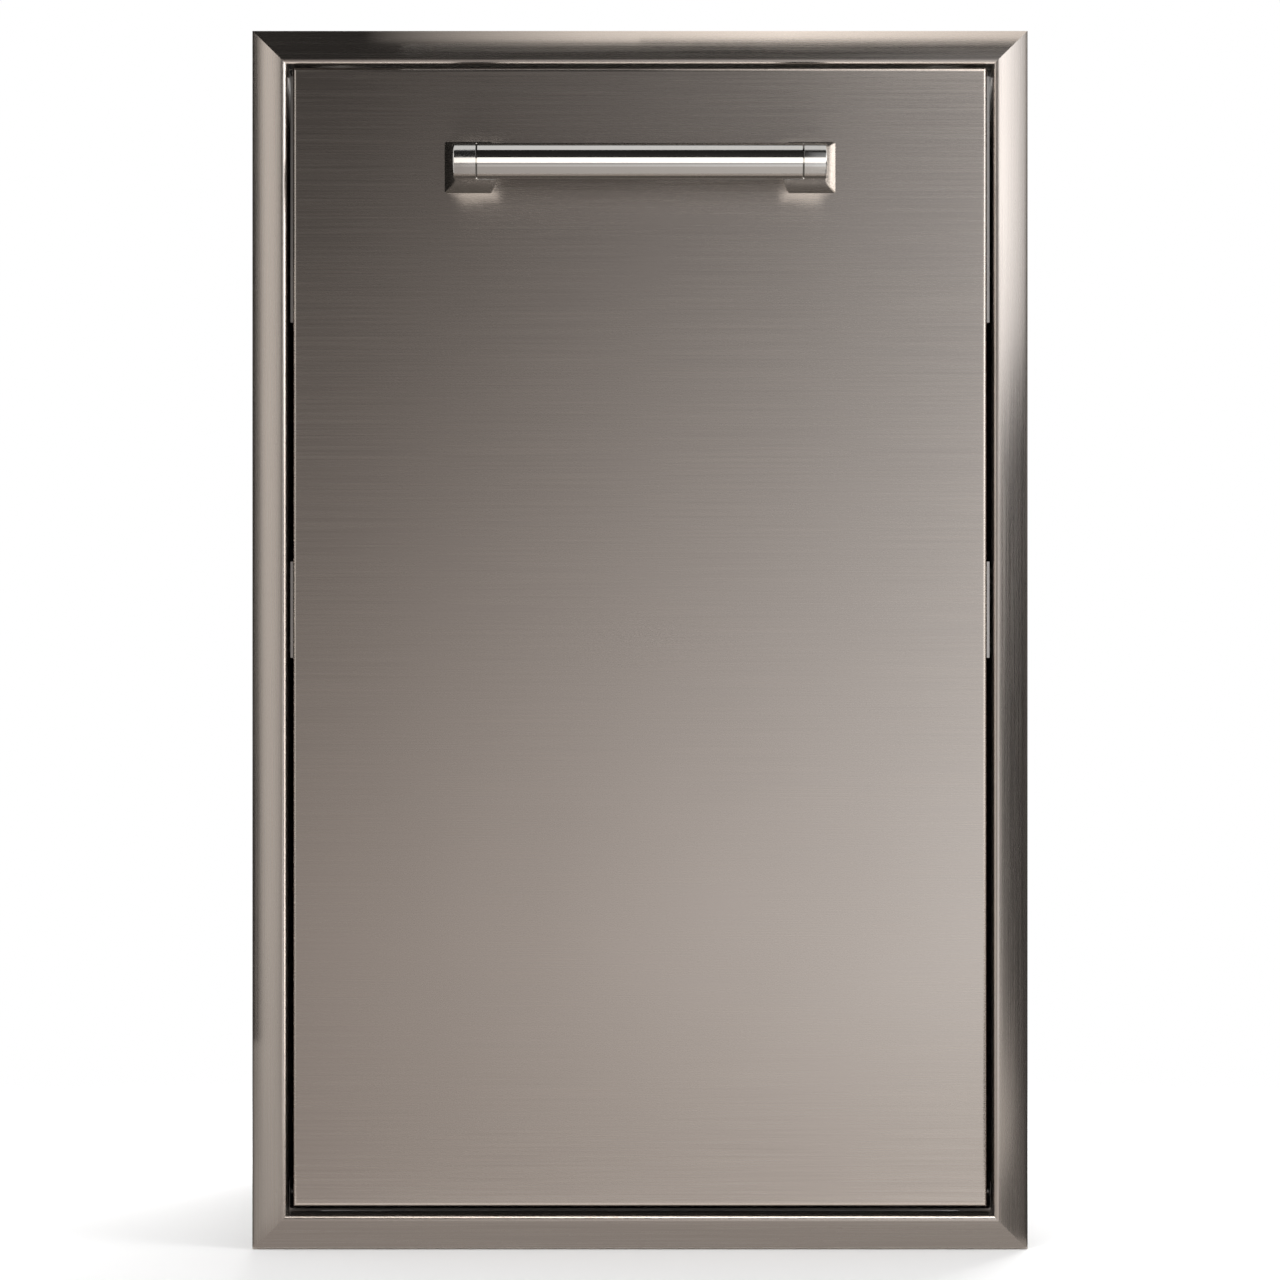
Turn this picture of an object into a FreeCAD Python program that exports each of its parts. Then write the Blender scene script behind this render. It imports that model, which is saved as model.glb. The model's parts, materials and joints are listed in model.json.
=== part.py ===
import FreeCAD, Part
import math
import os

# A pull-out trash drawer for an outdoor kitchen, in millimetres.
# X points right as seen from the front, Y into the island, Z up.
# The origin is the middle of the cut-out, on the wall face that the frame seats against.

# Front frame
FRAME_WIDTH = 420.0
FRAME_HEIGHT = 660.0
BEZEL_WIDTH = 19.0
BEZEL_DEPTH = 12.0
FRAME_SHEET = 1.2
NOSE_RADIUS = 2.2
CREST_RADIUS = 2.6
CROWN_RADIUS = 38.0
HEM_WIDTH = 9.0
JAMB_DEPTH = 16.0

# Housing
HOUSING_SHEET = 1.2
HOUSING_FLANGE = 18.0
PAN_FLANGE = 15.0
TONGUE_FRONT = 1.0
TONGUE_INSET = 16.0
JAMB_CLEARANCE = 2.0
FLANGE_CLEARANCE = 1.0
BRACE_DEPTH = 32.0
BRACE_CLEARANCE = 2.0
BRACE_END_GAP = 2.5
REAR_ROOM = 26.0
MOUNT_HOLE_RADIUS = 2.75
MOUNT_SPACING_Y = 360.0
MOUNT_SPACING_Z = 340.0
MOUNT_CENTRE_Y = 262.0
MOUNT_CENTRE_Z = -60.0

# Door
DOOR_SIDE_GAP = 3.5
DOOR_TOP_GAP = 1.8
DOOR_BOTTOM_GAP = 5.0
DOOR_DEPTH = 16.0
DOOR_SHEET = 1.2
DOOR_BEND_RADIUS = 2.4
DOOR_RETURN = 14.0
BACK_PAN_SHEET = 1.0
BACK_PAN_INSET = 2.0
DOOR_RIVET_INSET = 8.0
DOOR_RIVET_PITCH = 120.0

# Handle
HANDLE_DROP = 54.0
HANDLE_REACH = 44.0
HANDLE_LENGTH = 199.0
TUBE_RADIUS = 9.5
TUBE_WALL = 1.5
HEAD_LENGTH = 12.5
SPIGOT_LENGTH = 8.0
SPIGOT_CLEARANCE = 0.1
POST_WIDTH = 23.0
FOOT_WIDTH = 25.7
FOOT_HEIGHT = 27.7
FOOT_SPREAD = 6.0
WAIST_REACH = 14.0
WAIST_SHARE = 0.32
SADDLE_BACK = 6.5
SADDLE_CLEARANCE = 0.1
TUBE_CHAMFER = 0.5
HANDLE_SCREW_RADIUS = 2.5
HANDLE_SCREW_HEAD = 4.5
HANDLE_SCREW_HEAD_HEIGHT = 3.0
HANDLE_SCREW_DEPTH = 12.0

# Slides
SLIDE_LENGTH = 450.0
SLIDE_FRONT = 44.0
SLIDE_THICKNESS = 12.7
SLIDE_HALF_HEIGHT = 23.0
SLIDE_Z = 16.4
SLIDE_WEB = 1.2
OUTER_FLANGE = 2.4
MIDDLE_FLANGE = 2.8
INNER_FLANGE = 2.2
OUTER_TIP = 10.5
MIDDLE_TIP = 11.0
BALL_RADIUS = 2.38
RUN_CLEARANCE = 0.3
ROW_GAP = 3.7
CAGE_SHEET = 0.6
CAGE_STRIP = 0.8
CAGE_HOLE_CLEARANCE = 0.12
OUTER_ROW = 6.6
INNER_ROW = 7.6
CAGE_REACH = 3.0
CAGE_LENGTH = 212.0
BALLS_PER_ROW = 10
BUMPER_LENGTH = 10.0
BUMPER_HALF_HEIGHT = 9.0
BUMPER_DEPTH = 8.5

# Slide disconnect levers
LEVER_PIVOT = 66.0
LEVER_FRONT_ARM = 24.0
LEVER_REAR_ARM = 36.0
LEVER_HUB_RADIUS = 4.5
LEVER_END_HALF = 2.2
LEVER_THICKNESS = 3.0
PIN_RADIUS = 1.6
PIN_HEAD_RADIUS = 2.8
PIN_HEAD_HEIGHT = 0.8
PIN_CLEARANCE = 0.08

# Carriage
CARRIAGE_SHEET = 1.5
CARRIAGE_REAR_GAP = 14.0
RAIL_HEIGHT = 52.0
RAIL_FLANGE = 15.0
RING_DROP = 4.5
RING_HEIGHT = 133.0
RING_FLANGE = 12.0
CORNER_FLANGE = 15.0
DECK_DROP = 14.7
DECK_SKIRT = 20.0
DECK_COLLAR = 8.0
DECK_NOTCH = 1.0
UPRIGHT_WIDTH = 30.0
UPRIGHT_INSET = 63.0
UPRIGHT_FLANGE = 8.0
UPRIGHT_TOP_DROP = 17.0

# Brackets between the door and the carriage
BRACKET_FRONT = 4.0
BRACKET_STRAIGHT = 15.0
BRACKET_LAP = 24.0
CARRIAGE_FRONT_GAP = 1.0

# Waste bin
BIN_WALL = 2.6
BIN_FLOOR = 3.0
BIN_FLOOR_ROOM = 60.0
BIN_TOP_MARGIN_X = 30.0
BIN_FRONT_MARGIN = 19.0
BIN_LIFT_CLEARANCE = 2.0
BIN_DRAFT = 25.0
BIN_CORNER = 46.0
BIN_FLOOR_CORNER = 34.0
BIN_FLOOR_RADIUS = 12.0
RIM_WIDTH = 14.0
RIM_SHEET = 3.0
RIM_LIP = 12.0
BIN_SEAT_GAP = 0.3
DECK_BIN_GAP = 3.0

# Fasteners
RIVET_RADIUS = 1.6
RIVET_HEAD = 3.2
RIVET_HEAD_HEIGHT = 1.0
RIVET_CROWN = 1.8
RIVET_TAIL = 2.3
RIVET_TAIL_HEIGHT = 1.2
SCREW_RADIUS = 2.0
SCREW_HEAD = 3.5
SCREW_HEAD_HEIGHT = 1.8
SINK_RADIUS = 3.2
SINK_DEPTH = 0.9
NUT_ACROSS_FLATS = 7.0
NUT_HEIGHT = 3.2
THREAD_END = 1.5
HOLE_CLEARANCE = 0.1
SLIDE_SCREW_INSET = 40.0
RAIL_SCREW_INSET = 18.0
SCREWS_PER_SLIDE = 3

# Planes that the pieces share, for the right half
OPEN_X = FRAME_WIDTH / 2 - BEZEL_WIDTH
OPEN_Z = FRAME_HEIGHT / 2 - BEZEL_WIDTH
SHELL_X = OPEN_X + FRAME_SHEET
SHELL_Z = OPEN_Z + FRAME_SHEET
FLOOR_Z = -SHELL_Z + HOUSING_SHEET
CEILING_Z = SHELL_Z - HOUSING_SHEET
SLIDE_REAR = SLIDE_FRONT + SLIDE_LENGTH
HOUSING_REAR = SLIDE_REAR + REAR_ROOM
BACK_FACE = HOUSING_REAR - HOUSING_SHEET
FLANGE_FRONT = JAMB_DEPTH + JAMB_CLEARANCE
DOOR_FACE = -BEZEL_DEPTH
DOOR_REAR = DOOR_FACE + DOOR_DEPTH
DOOR_X = OPEN_X - DOOR_SIDE_GAP
DOOR_TOP = OPEN_Z - DOOR_TOP_GAP
DOOR_BOTTOM = -OPEN_Z + DOOR_BOTTOM_GAP
HANDLE_Z = DOOR_TOP - HANDLE_DROP
BAR_Y = DOOR_FACE - HANDLE_REACH
TUBE_HALF = HANDLE_LENGTH / 2 - HEAD_LENGTH
FOOT_X = HANDLE_LENGTH / 2 + FOOT_SPREAD - FOOT_WIDTH / 2
RAIL_X = SHELL_X - SLIDE_THICKNESS
PLATE_X = RAIL_X - CARRIAGE_SHEET
UPRIGHT_CENTRE = PLATE_X - UPRIGHT_INSET
RAIL_BOTTOM = SLIDE_Z - RAIL_HEIGHT / 2
RAIL_TOP = SLIDE_Z + RAIL_HEIGHT / 2
RING_TOP = DOOR_TOP - RING_DROP
RING_BOTTOM = RING_TOP - RING_HEIGHT
BEND_START = DOOR_FACE + BRACKET_FRONT + BRACKET_STRAIGHT
BEND_END = BEND_START + DOOR_X - RAIL_X
CARRIAGE_FRONT = BEND_END + CARRIAGE_FRONT_GAP
CARRIAGE_REAR = SLIDE_REAR - CARRIAGE_REAR_GAP
DECK_TOP = RING_TOP - DECK_DROP
BUMPER_FRONT = SLIDE_REAR - BUMPER_LENGTH
MEMBER_REAR = BUMPER_FRONT - RUN_CLEARANCE
CAGE_CENTRE = (SLIDE_FRONT + MEMBER_REAR) / 2
GROOVE_RADIUS = BALL_RADIUS + RUN_CLEARANCE

# Slide layers, counted inwards from the side panel, and ball rows, counted from the slide's middle
OUTER_CAGE_WEB = SLIDE_WEB + RUN_CLEARANCE
MIDDLE_WEB = OUTER_CAGE_WEB + CAGE_SHEET + RUN_CLEARANCE
INNER_CAGE_WEB = MIDDLE_WEB + SLIDE_WEB + RUN_CLEARANCE
INNER_TIP = INNER_CAGE_WEB + CAGE_SHEET + RUN_CLEARANCE
INNER_WEB = SLIDE_THICKNESS - SLIDE_WEB
OUTER_INSIDE = SLIDE_HALF_HEIGHT - OUTER_FLANGE
MIDDLE_OUTSIDE = OUTER_INSIDE - ROW_GAP
MIDDLE_INSIDE = MIDDLE_OUTSIDE - MIDDLE_FLANGE
INNER_OUTSIDE = MIDDLE_INSIDE - ROW_GAP
INNER_INSIDE = INNER_OUTSIDE - INNER_FLANGE
OUTER_ROW_Z = MIDDLE_OUTSIDE + ROW_GAP / 2
INNER_ROW_Z = INNER_OUTSIDE + ROW_GAP / 2

# The bin hangs behind the ring's front, and its rim clears the bezel once the drawer is out by the slides' length
RIM_FRONT = CARRIAGE_FRONT + BIN_FRONT_MARGIN
RIM_REAR = SLIDE_LENGTH - BEZEL_DEPTH - BIN_LIFT_CLEARANCE
BIN_Y = (RIM_FRONT + RIM_REAR) / 2
BIN_HALF_X = PLATE_X - BIN_TOP_MARGIN_X
BIN_HALF_Y = (RIM_REAR - RIM_FRONT) / 2 - RIM_WIDTH
BIN_TOP = DECK_TOP + BIN_SEAT_GAP + RIM_LIP
BIN_BOTTOM = FLOOR_Z + HOUSING_SHEET + BIN_FLOOR_ROOM

ALONG_X = FreeCAD.Vector(1, 0, 0)
ALONG_Y = FreeCAD.Vector(0, 1, 0)
ALONG_Z = FreeCAD.Vector(0, 0, 1)
ORIGIN = FreeCAD.Vector(0, 0, 0)


# Building blocks


def point(x, y, z):
    return FreeCAD.Vector(x, y, z)


def block(x, y, z):
    """A box from three pairs of low and high sides."""
    return Part.makeBox(x[1] - x[0], y[1] - y[0], z[1] - z[0], point(x[0], y[0], z[0]))


def rod(radius, start, end):
    axis = end.sub(start)
    return Part.makeCylinder(radius, axis.Length, start, axis)


def mirrored(shape):
    return shape.mirror(ORIGIN, ALONG_X)


def folded(path, sheet, sweep):
    """A folded sheet: the path follows the inside of its folds, and the sheet lies outside them."""
    profile = Part.makePolygon(path).makeOffset2D(sheet, 0, True, True)
    return profile.extrude(sweep)


def spread(low, high, count):
    """Places spread evenly from low to high, both included."""
    step = (high - low) / (count - 1)
    return [low + step * i for i in range(count)]


def group(solids):
    return Part.makeCompound(solids)


def rounded_outline(half_x, half_y, radius, z):
    """A rectangle with round corners around the bin's upright axis."""
    quarter = 90.0
    reach_x = half_x - radius
    reach_y = half_y - radius
    centres = [(reach_x, reach_y), (-reach_x, reach_y), (-reach_x, -reach_y), (reach_x, -reach_y)]
    arcs = []
    for i, (x, y) in enumerate(centres):
        centre = point(x, BIN_Y + y, z)
        arcs.append(Part.makeCircle(radius, centre, ALONG_Z, quarter * i, quarter * (i + 1)))
    edges = []
    for i, arc in enumerate(arcs):
        following = arcs[(i + 1) % len(arcs)]
        edges.append(arc)
        edges.append(Part.makeLine(arc.Vertexes[-1].Point, following.Vertexes[0].Point))
    return Part.Wire(edges)


def rounded_prism(half_x, half_y, radius, z):
    outline = rounded_outline(half_x, half_y, radius, z[0])
    return Part.Face(outline).extrude(point(0, 0, z[1] - z[0]))


# Fasteners: a place is the point under the head, the way into the sheets and the thickness gripped


def drilled(shape, places, radius):
    """The shape with a clearance hole at every place."""
    holes = []
    for at, into, grip in places:
        reach = into * (grip + HOLE_CLEARANCE)
        holes.append(rod(radius + HOLE_CLEARANCE, at - into * HOLE_CLEARANCE, at + reach))
    return shape.cut(group(holes))


def rivet(place):
    at, into, grip = place
    head = Part.makeCone(RIVET_HEAD, RIVET_CROWN, RIVET_HEAD_HEIGHT, at, into * -1)
    shank = rod(RIVET_RADIUS, at, at + into * grip)
    tail = rod(RIVET_TAIL, at + into * grip, at + into * (grip + RIVET_TAIL_HEIGHT))
    return head.fuse([shank, tail]).removeSplitter()


def pan_screw(place, radius, head_radius, head_height, length):
    at, into, grip = place
    head = rod(head_radius, at, at - into * head_height)
    return head.fuse(rod(radius, at, at + into * length)).removeSplitter()


def sunk_screw(place, length):
    """A countersunk screw, its head flush with the sheet it is driven into."""
    at, into, grip = place
    head = Part.makeCone(SINK_RADIUS, SCREW_RADIUS, SINK_DEPTH, at, into)
    return head.fuse(rod(SCREW_RADIUS, at, at + into * length)).removeSplitter()


def hex_nut(at, into):
    """A hexagonal nut standing on the sheet at the given point."""
    corner = NUT_ACROSS_FLATS / math.sqrt(3)
    sides = 6
    ring = []
    for i in range(sides + 1):
        turn = 2 * math.pi * i / sides
        ring.append(at + ALONG_Y * (corner * math.cos(turn)) + ALONG_Z * (corner * math.sin(turn)))
    body = Part.Face(Part.makePolygon(ring)).extrude(into * NUT_HEIGHT)
    return body.cut(rod(SCREW_RADIUS + HOLE_CLEARANCE, at, at + into * NUT_HEIGHT))


def both_sides(places):
    """The places and their mirror images on the left."""
    left = []
    for at, into, grip in places:
        left.append((point(-at.x, at.y, at.z), point(-into.x, into.y, into.z), grip))
    return places + left


# Front frame


def circle_crossing(centre_a, radius_a, centre_b, radius_b):
    """Where two circles in the bezel's section cross, on the wall side."""
    across = centre_b.sub(centre_a)
    gap = across.Length
    along = (radius_a ** 2 - radius_b ** 2 + gap ** 2) / (2 * gap)
    height = math.sqrt(radius_a ** 2 - along ** 2)
    way = across * (1 / gap)
    side = point(0, way.z, -way.y)
    return centre_a + way * along + side * height


def arc_about(centre, radius, start_way, end_way):
    middle_way = (start_way + end_way).normalize()
    start = centre + start_way * radius
    end = centre + end_way * radius
    return Part.Arc(start, centre + middle_way * radius, end).toShape()


def bezel_profile():
    """The rail's section: a hem on the wall, a rolled edge, a crowned face, a crest and the jamb."""
    nose = point(0, -NOSE_RADIUS, NOSE_RADIUS)
    crest = point(0, -(BEZEL_DEPTH - CREST_RADIUS), BEZEL_WIDTH - CREST_RADIUS)
    crown = circle_crossing(nose, CROWN_RADIUS - NOSE_RADIUS, crest, CROWN_RADIUS - CREST_RADIUS)
    nose_way = nose.sub(crown).normalize()
    crest_way = crest.sub(crown).normalize()
    hem_ends = []
    jamb_ends = []
    edges = []
    for depth in (0.0, FRAME_SHEET):
        hem_end = point(0, -depth, HEM_WIDTH)
        jamb_end = point(0, JAMB_DEPTH, BEZEL_WIDTH - depth)
        hem_ends.append(hem_end)
        jamb_ends.append(jamb_end)
        edges.append(Part.makeLine(hem_end, nose + ALONG_Y * (NOSE_RADIUS - depth)))
        edges.append(arc_about(nose, NOSE_RADIUS - depth, point(0, 1, 0), nose_way))
        edges.append(arc_about(crown, CROWN_RADIUS - depth, nose_way, crest_way))
        edges.append(arc_about(crest, CREST_RADIUS - depth, crest_way, point(0, 0, 1)))
        edges.append(Part.makeLine(crest + ALONG_Z * (CREST_RADIUS - depth), jamb_end))
    edges.append(Part.makeLine(*hem_ends))
    edges.append(Part.makeLine(*jamb_ends))
    return Part.Face(Part.Wire(Part.__sortEdges__(edges)))


def bezel_rail(length):
    """A rail along X, its outer edge on the X axis, with both ends mitred."""
    half = length / 2
    bar = bezel_profile().extrude(point(length, 0, 0))
    bar.translate(point(-half, 0, 0))
    front = -BEZEL_DEPTH
    corners = [
        point(-half, front, 0),
        point(half, front, 0),
        point(half - BEZEL_WIDTH, front, BEZEL_WIDTH),
        point(-half + BEZEL_WIDTH, front, BEZEL_WIDTH),
        point(-half, front, 0),
    ]
    wedge = Part.Face(Part.makePolygon(corners)).extrude(point(0, BEZEL_DEPTH + JAMB_DEPTH, 0))
    return bar.common(wedge)


def frame_rails():
    half_turn = 180.0
    quarter_turn = 90.0
    bottom = bezel_rail(FRAME_WIDTH)
    top = bezel_rail(FRAME_WIDTH)
    left = bezel_rail(FRAME_HEIGHT)
    right = bezel_rail(FRAME_HEIGHT)
    top.rotate(ORIGIN, ALONG_Y, half_turn)
    left.rotate(ORIGIN, ALONG_Y, quarter_turn)
    right.rotate(ORIGIN, ALONG_Y, -quarter_turn)
    bottom.translate(point(0, 0, -FRAME_HEIGHT / 2))
    top.translate(point(0, 0, FRAME_HEIGHT / 2))
    left.translate(point(-FRAME_WIDTH / 2, 0, 0))
    right.translate(point(FRAME_WIDTH / 2, 0, 0))
    return {
        "frame_bottom_rail": bottom,
        "frame_top_rail": top,
        "frame_left_stile": left,
        "frame_right_stile": right,
    }


# Housing


def back_rivet_places():
    """Rivets from each side panel into the back panel's side flanges."""
    rows = 5
    y = HOUSING_REAR - HOUSING_FLANGE / 2
    heights = spread(FLOOR_Z + 2 * PAN_FLANGE, CEILING_Z - 2 * PAN_FLANGE, rows)
    return [(point(SHELL_X + HOUSING_SHEET, y, z), ALONG_X * -1, 2 * HOUSING_SHEET) for z in heights]


def pan_rivet_places():
    """Rivets from each side panel into the base pan's side flanges."""
    rows = 4
    z = FLOOR_Z + HOUSING_SHEET + PAN_FLANGE / 2
    ends = (FLANGE_FRONT + HOUSING_FLANGE, HOUSING_REAR - 3 * HOUSING_FLANGE)
    return [(point(SHELL_X + HOUSING_SHEET, y, z), ALONG_X * -1, 2 * HOUSING_SHEET) for y in spread(*ends, rows)]


def brace_spans():
    """Front and rear edge of the two braces: the front one ends short of the bin, which lifts past it."""
    front = (FLANGE_FRONT, RIM_FRONT - BRACE_CLEARANCE)
    rear = (BACK_FACE - BRACE_DEPTH, BACK_FACE)
    return front, rear


def brace_rivet_places():
    """Rivets from each side panel's top flange into the two braces."""
    x = SHELL_X - HOUSING_FLANGE / 2
    places = []
    for front, rear in brace_spans():
        places.append((point(x, (front + rear) / 2, SHELL_Z), ALONG_Z * -1, 2 * HOUSING_SHEET))
    return places


def mount_places():
    """The screw holes that fix the housing to the island's framing."""
    places = []
    for step_y in (-MOUNT_SPACING_Y / 2, MOUNT_SPACING_Y / 2):
        for step_z in (-MOUNT_SPACING_Z / 2, MOUNT_SPACING_Z / 2):
            at = point(SHELL_X + HOUSING_SHEET, MOUNT_CENTRE_Y + step_y, MOUNT_CENTRE_Z + step_z)
            places.append((at, ALONG_X * -1, HOUSING_SHEET))
    return places


def side_panel():
    """The right side panel: a tall sheet with a flange turned in at top and bottom."""
    tip = SHELL_X - HOUSING_FLANGE
    path = [
        point(tip, FLANGE_FRONT, CEILING_Z),
        point(SHELL_X, FLANGE_FRONT, CEILING_Z),
        point(SHELL_X, FLANGE_FRONT, FLOOR_Z),
        point(tip, FLANGE_FRONT, FLOOR_Z),
    ]
    panel = folded(path, HOUSING_SHEET, point(0, HOUSING_REAR - FLANGE_FRONT, 0))
    reach = CEILING_Z - TONGUE_INSET
    tongue = block((SHELL_X, SHELL_X + HOUSING_SHEET), (TONGUE_FRONT, FLANGE_FRONT), (-reach, reach))
    panel = panel.fuse(tongue).removeSplitter()
    panel = drilled(panel, back_rivet_places() + pan_rivet_places() + brace_rivet_places(), RIVET_RADIUS)
    panel = drilled(panel, slide_screw_places(), SCREW_RADIUS)
    return drilled(panel, mount_places(), MOUNT_HOLE_RADIUS - HOLE_CLEARANCE)


def base_pan():
    """The floor, resting on the side panels' lower flanges, with its sides turned up."""
    inside = SHELL_X - HOUSING_SHEET
    floor = FLOOR_Z + HOUSING_SHEET
    rim = floor + PAN_FLANGE
    path = [
        point(inside, FLANGE_FRONT, rim),
        point(inside, FLANGE_FRONT, floor),
        point(-inside, FLANGE_FRONT, floor),
        point(-inside, FLANGE_FRONT, rim),
    ]
    pan = folded(path, HOUSING_SHEET, point(0, BACK_FACE - FLANGE_FRONT, 0))
    notch_front = HOUSING_REAR - HOUSING_FLANGE - FLANGE_CLEARANCE
    inner = inside - FLANGE_CLEARANCE
    notch = block((inner, SHELL_X), (notch_front, BACK_FACE), (FLOOR_Z, rim))
    pan = pan.cut([notch, mirrored(notch)])
    return drilled(pan, both_sides(pan_rivet_places()), RIVET_RADIUS)


def back_panel():
    """The rear wall, with flanges turned forward inside the side panels."""
    inside = SHELL_X - HOUSING_SHEET
    tip = HOUSING_REAR - HOUSING_FLANGE
    path = [
        point(inside, tip, FLOOR_Z),
        point(inside, BACK_FACE, FLOOR_Z),
        point(-inside, BACK_FACE, FLOOR_Z),
        point(-inside, tip, FLOOR_Z),
    ]
    panel = folded(path, HOUSING_SHEET, point(0, 0, CEILING_Z - FLOOR_Z))
    return drilled(panel, both_sides(back_rivet_places()), RIVET_RADIUS)


def brace(span):
    """A strip under the side panels' top flanges, its front edge turned down to just above the carriage."""
    half = SHELL_X - BRACE_END_GAP
    strip = block((-half, half), span, (CEILING_Z - HOUSING_SHEET, CEILING_Z))
    lip_front = span[0]
    lip = block((-half, half), (lip_front, lip_front + HOUSING_SHEET), (RING_TOP + BRACE_CLEARANCE, CEILING_Z))
    angle = strip.fuse(lip).removeSplitter()
    return drilled(angle, both_sides(brace_rivet_places()), RIVET_RADIUS)


def braces():
    front, rear = brace_spans()
    return {"top_front_brace": brace(front), "top_rear_brace": brace(rear)}


def housing_rivets():
    places = back_rivet_places() + pan_rivet_places() + brace_rivet_places()
    return group([rivet(place) for place in both_sides(places)])


# Slides, drawn on the right: depth is counted inwards from the side panel


def slide_block(depth, y, half):
    """A bar inside the slide that is as high above the slide's middle as below it."""
    return block((SHELL_X - depth[1], SHELL_X - depth[0]), y, (SLIDE_Z - half, SLIDE_Z + half))


def grooved(member, depth, row_z):
    """The member with its two ball tracks cut."""
    tracks = []
    for z in (SLIDE_Z - row_z, SLIDE_Z + row_z):
        start = point(SHELL_X - depth, SLIDE_FRONT, z)
        tracks.append(rod(GROOVE_RADIUS, start, start + ALONG_Y * SLIDE_LENGTH))
    return member.cut(tracks)


def slide_screw_places():
    """Countersunk screws from each outer member out through the side panel."""
    rows = spread(SLIDE_FRONT + SLIDE_SCREW_INSET, SLIDE_REAR - SLIDE_SCREW_INSET, SCREWS_PER_SLIDE)
    grip = SLIDE_WEB + HOUSING_SHEET
    return [(point(SHELL_X - SLIDE_WEB, y, SLIDE_Z), ALONG_X, grip) for y in rows]


def rail_screw_places():
    """Pan-head screws from each inner member into the carriage rail."""
    rows = spread(SLIDE_FRONT + RAIL_SCREW_INSET, MEMBER_REAR - RAIL_SCREW_INSET * 2, SCREWS_PER_SLIDE)
    grip = SLIDE_WEB + CARRIAGE_SHEET
    return [(point(SHELL_X - INNER_WEB, y, SLIDE_Z), ALONG_X * -1, grip) for y in rows]


def lever_axis():
    return point(SHELL_X - INNER_WEB, SLIDE_FRONT + LEVER_PIVOT, SLIDE_Z)


def slide_outer():
    length = (SLIDE_FRONT, SLIDE_REAR)
    bar = slide_block((0.0, OUTER_TIP), length, SLIDE_HALF_HEIGHT)
    bar = bar.cut(slide_block((SLIDE_WEB, OUTER_TIP), length, OUTER_INSIDE))
    bar = grooved(bar, OUTER_ROW, OUTER_ROW_Z)
    bar = drilled(bar, slide_screw_places(), SCREW_RADIUS)
    sinks = []
    for at, into, grip in slide_screw_places():
        wide = SINK_RADIUS + HOLE_CLEARANCE
        narrow = SCREW_RADIUS + HOLE_CLEARANCE
        sinks.append(Part.makeCone(wide, narrow, SINK_DEPTH + HOLE_CLEARANCE, at, into))
    return bar.cut(sinks)


def slide_middle():
    length = (SLIDE_FRONT, MEMBER_REAR)
    bar = slide_block((MIDDLE_WEB, MIDDLE_TIP), length, MIDDLE_OUTSIDE)
    bar = bar.cut(slide_block((MIDDLE_WEB + SLIDE_WEB, MIDDLE_TIP), length, MIDDLE_INSIDE))
    bar = grooved(bar, OUTER_ROW, OUTER_ROW_Z)
    return grooved(bar, INNER_ROW, INNER_ROW_Z)


def slide_inner():
    length = (SLIDE_FRONT, MEMBER_REAR)
    bar = slide_block((INNER_TIP, SLIDE_THICKNESS), length, INNER_OUTSIDE)
    bar = bar.cut(slide_block((INNER_TIP, INNER_WEB), length, INNER_INSIDE))
    bar = grooved(bar, INNER_ROW, INNER_ROW_Z)
    bar = drilled(bar, rail_screw_places(), SCREW_RADIUS)
    axis = lever_axis()
    return bar.cut(rod(PIN_RADIUS, axis, axis - ALONG_X * SLIDE_WEB))


def ball_centres(depth, row_z):
    pitch = CAGE_LENGTH / BALLS_PER_ROW
    start = CAGE_CENTRE - CAGE_LENGTH / 2 + pitch / 2
    centres = []
    for z in (SLIDE_Z - row_z, SLIDE_Z + row_z):
        for i in range(BALLS_PER_ROW):
            centres.append(point(SHELL_X - depth, start + pitch * i, z))
    return centres


def ball_cage(web, row, row_z):
    """A thin channel that keeps two rows of balls apart."""
    length = (CAGE_CENTRE - CAGE_LENGTH / 2, CAGE_CENTRE + CAGE_LENGTH / 2)
    tip = row + CAGE_REACH
    strip = CAGE_STRIP / 2
    bar = slide_block((web, tip), length, row_z + strip)
    bar = bar.cut(slide_block((web + CAGE_SHEET, tip), length, row_z - strip))
    holes = []
    for centre in ball_centres(row, row_z):
        start = centre - ALONG_Z * BALL_RADIUS
        holes.append(rod(BALL_RADIUS + CAGE_HOLE_CLEARANCE, start, centre + ALONG_Z * BALL_RADIUS))
    return bar.cut(holes)


def balls(row, row_z):
    right = [Part.makeSphere(BALL_RADIUS, centre) for centre in ball_centres(row, row_z)]
    return group(right + [mirrored(ball) for ball in right])


def slide_bumper():
    depth = (SLIDE_WEB, SLIDE_WEB + BUMPER_DEPTH)
    return slide_block(depth, (BUMPER_FRONT, SLIDE_REAR), BUMPER_HALF_HEIGHT)


def slide_screws():
    length = SLIDE_WEB + HOUSING_SHEET + NUT_HEIGHT + THREAD_END
    return group([sunk_screw(place, length) for place in both_sides(slide_screw_places())])


def slide_nuts():
    places = both_sides(slide_screw_places())
    return group([hex_nut(at + into * grip, into) for at, into, grip in places])


def rail_screws():
    length = SLIDE_WEB + CARRIAGE_SHEET + NUT_HEIGHT + THREAD_END
    screws = []
    for place in both_sides(rail_screw_places()):
        screws.append(pan_screw(place, SCREW_RADIUS, SCREW_HEAD, SCREW_HEAD_HEIGHT, length))
    return group(screws)


def rail_nuts():
    places = both_sides(rail_screw_places())
    return group([hex_nut(at + into * grip, into) for at, into, grip in places])


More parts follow.
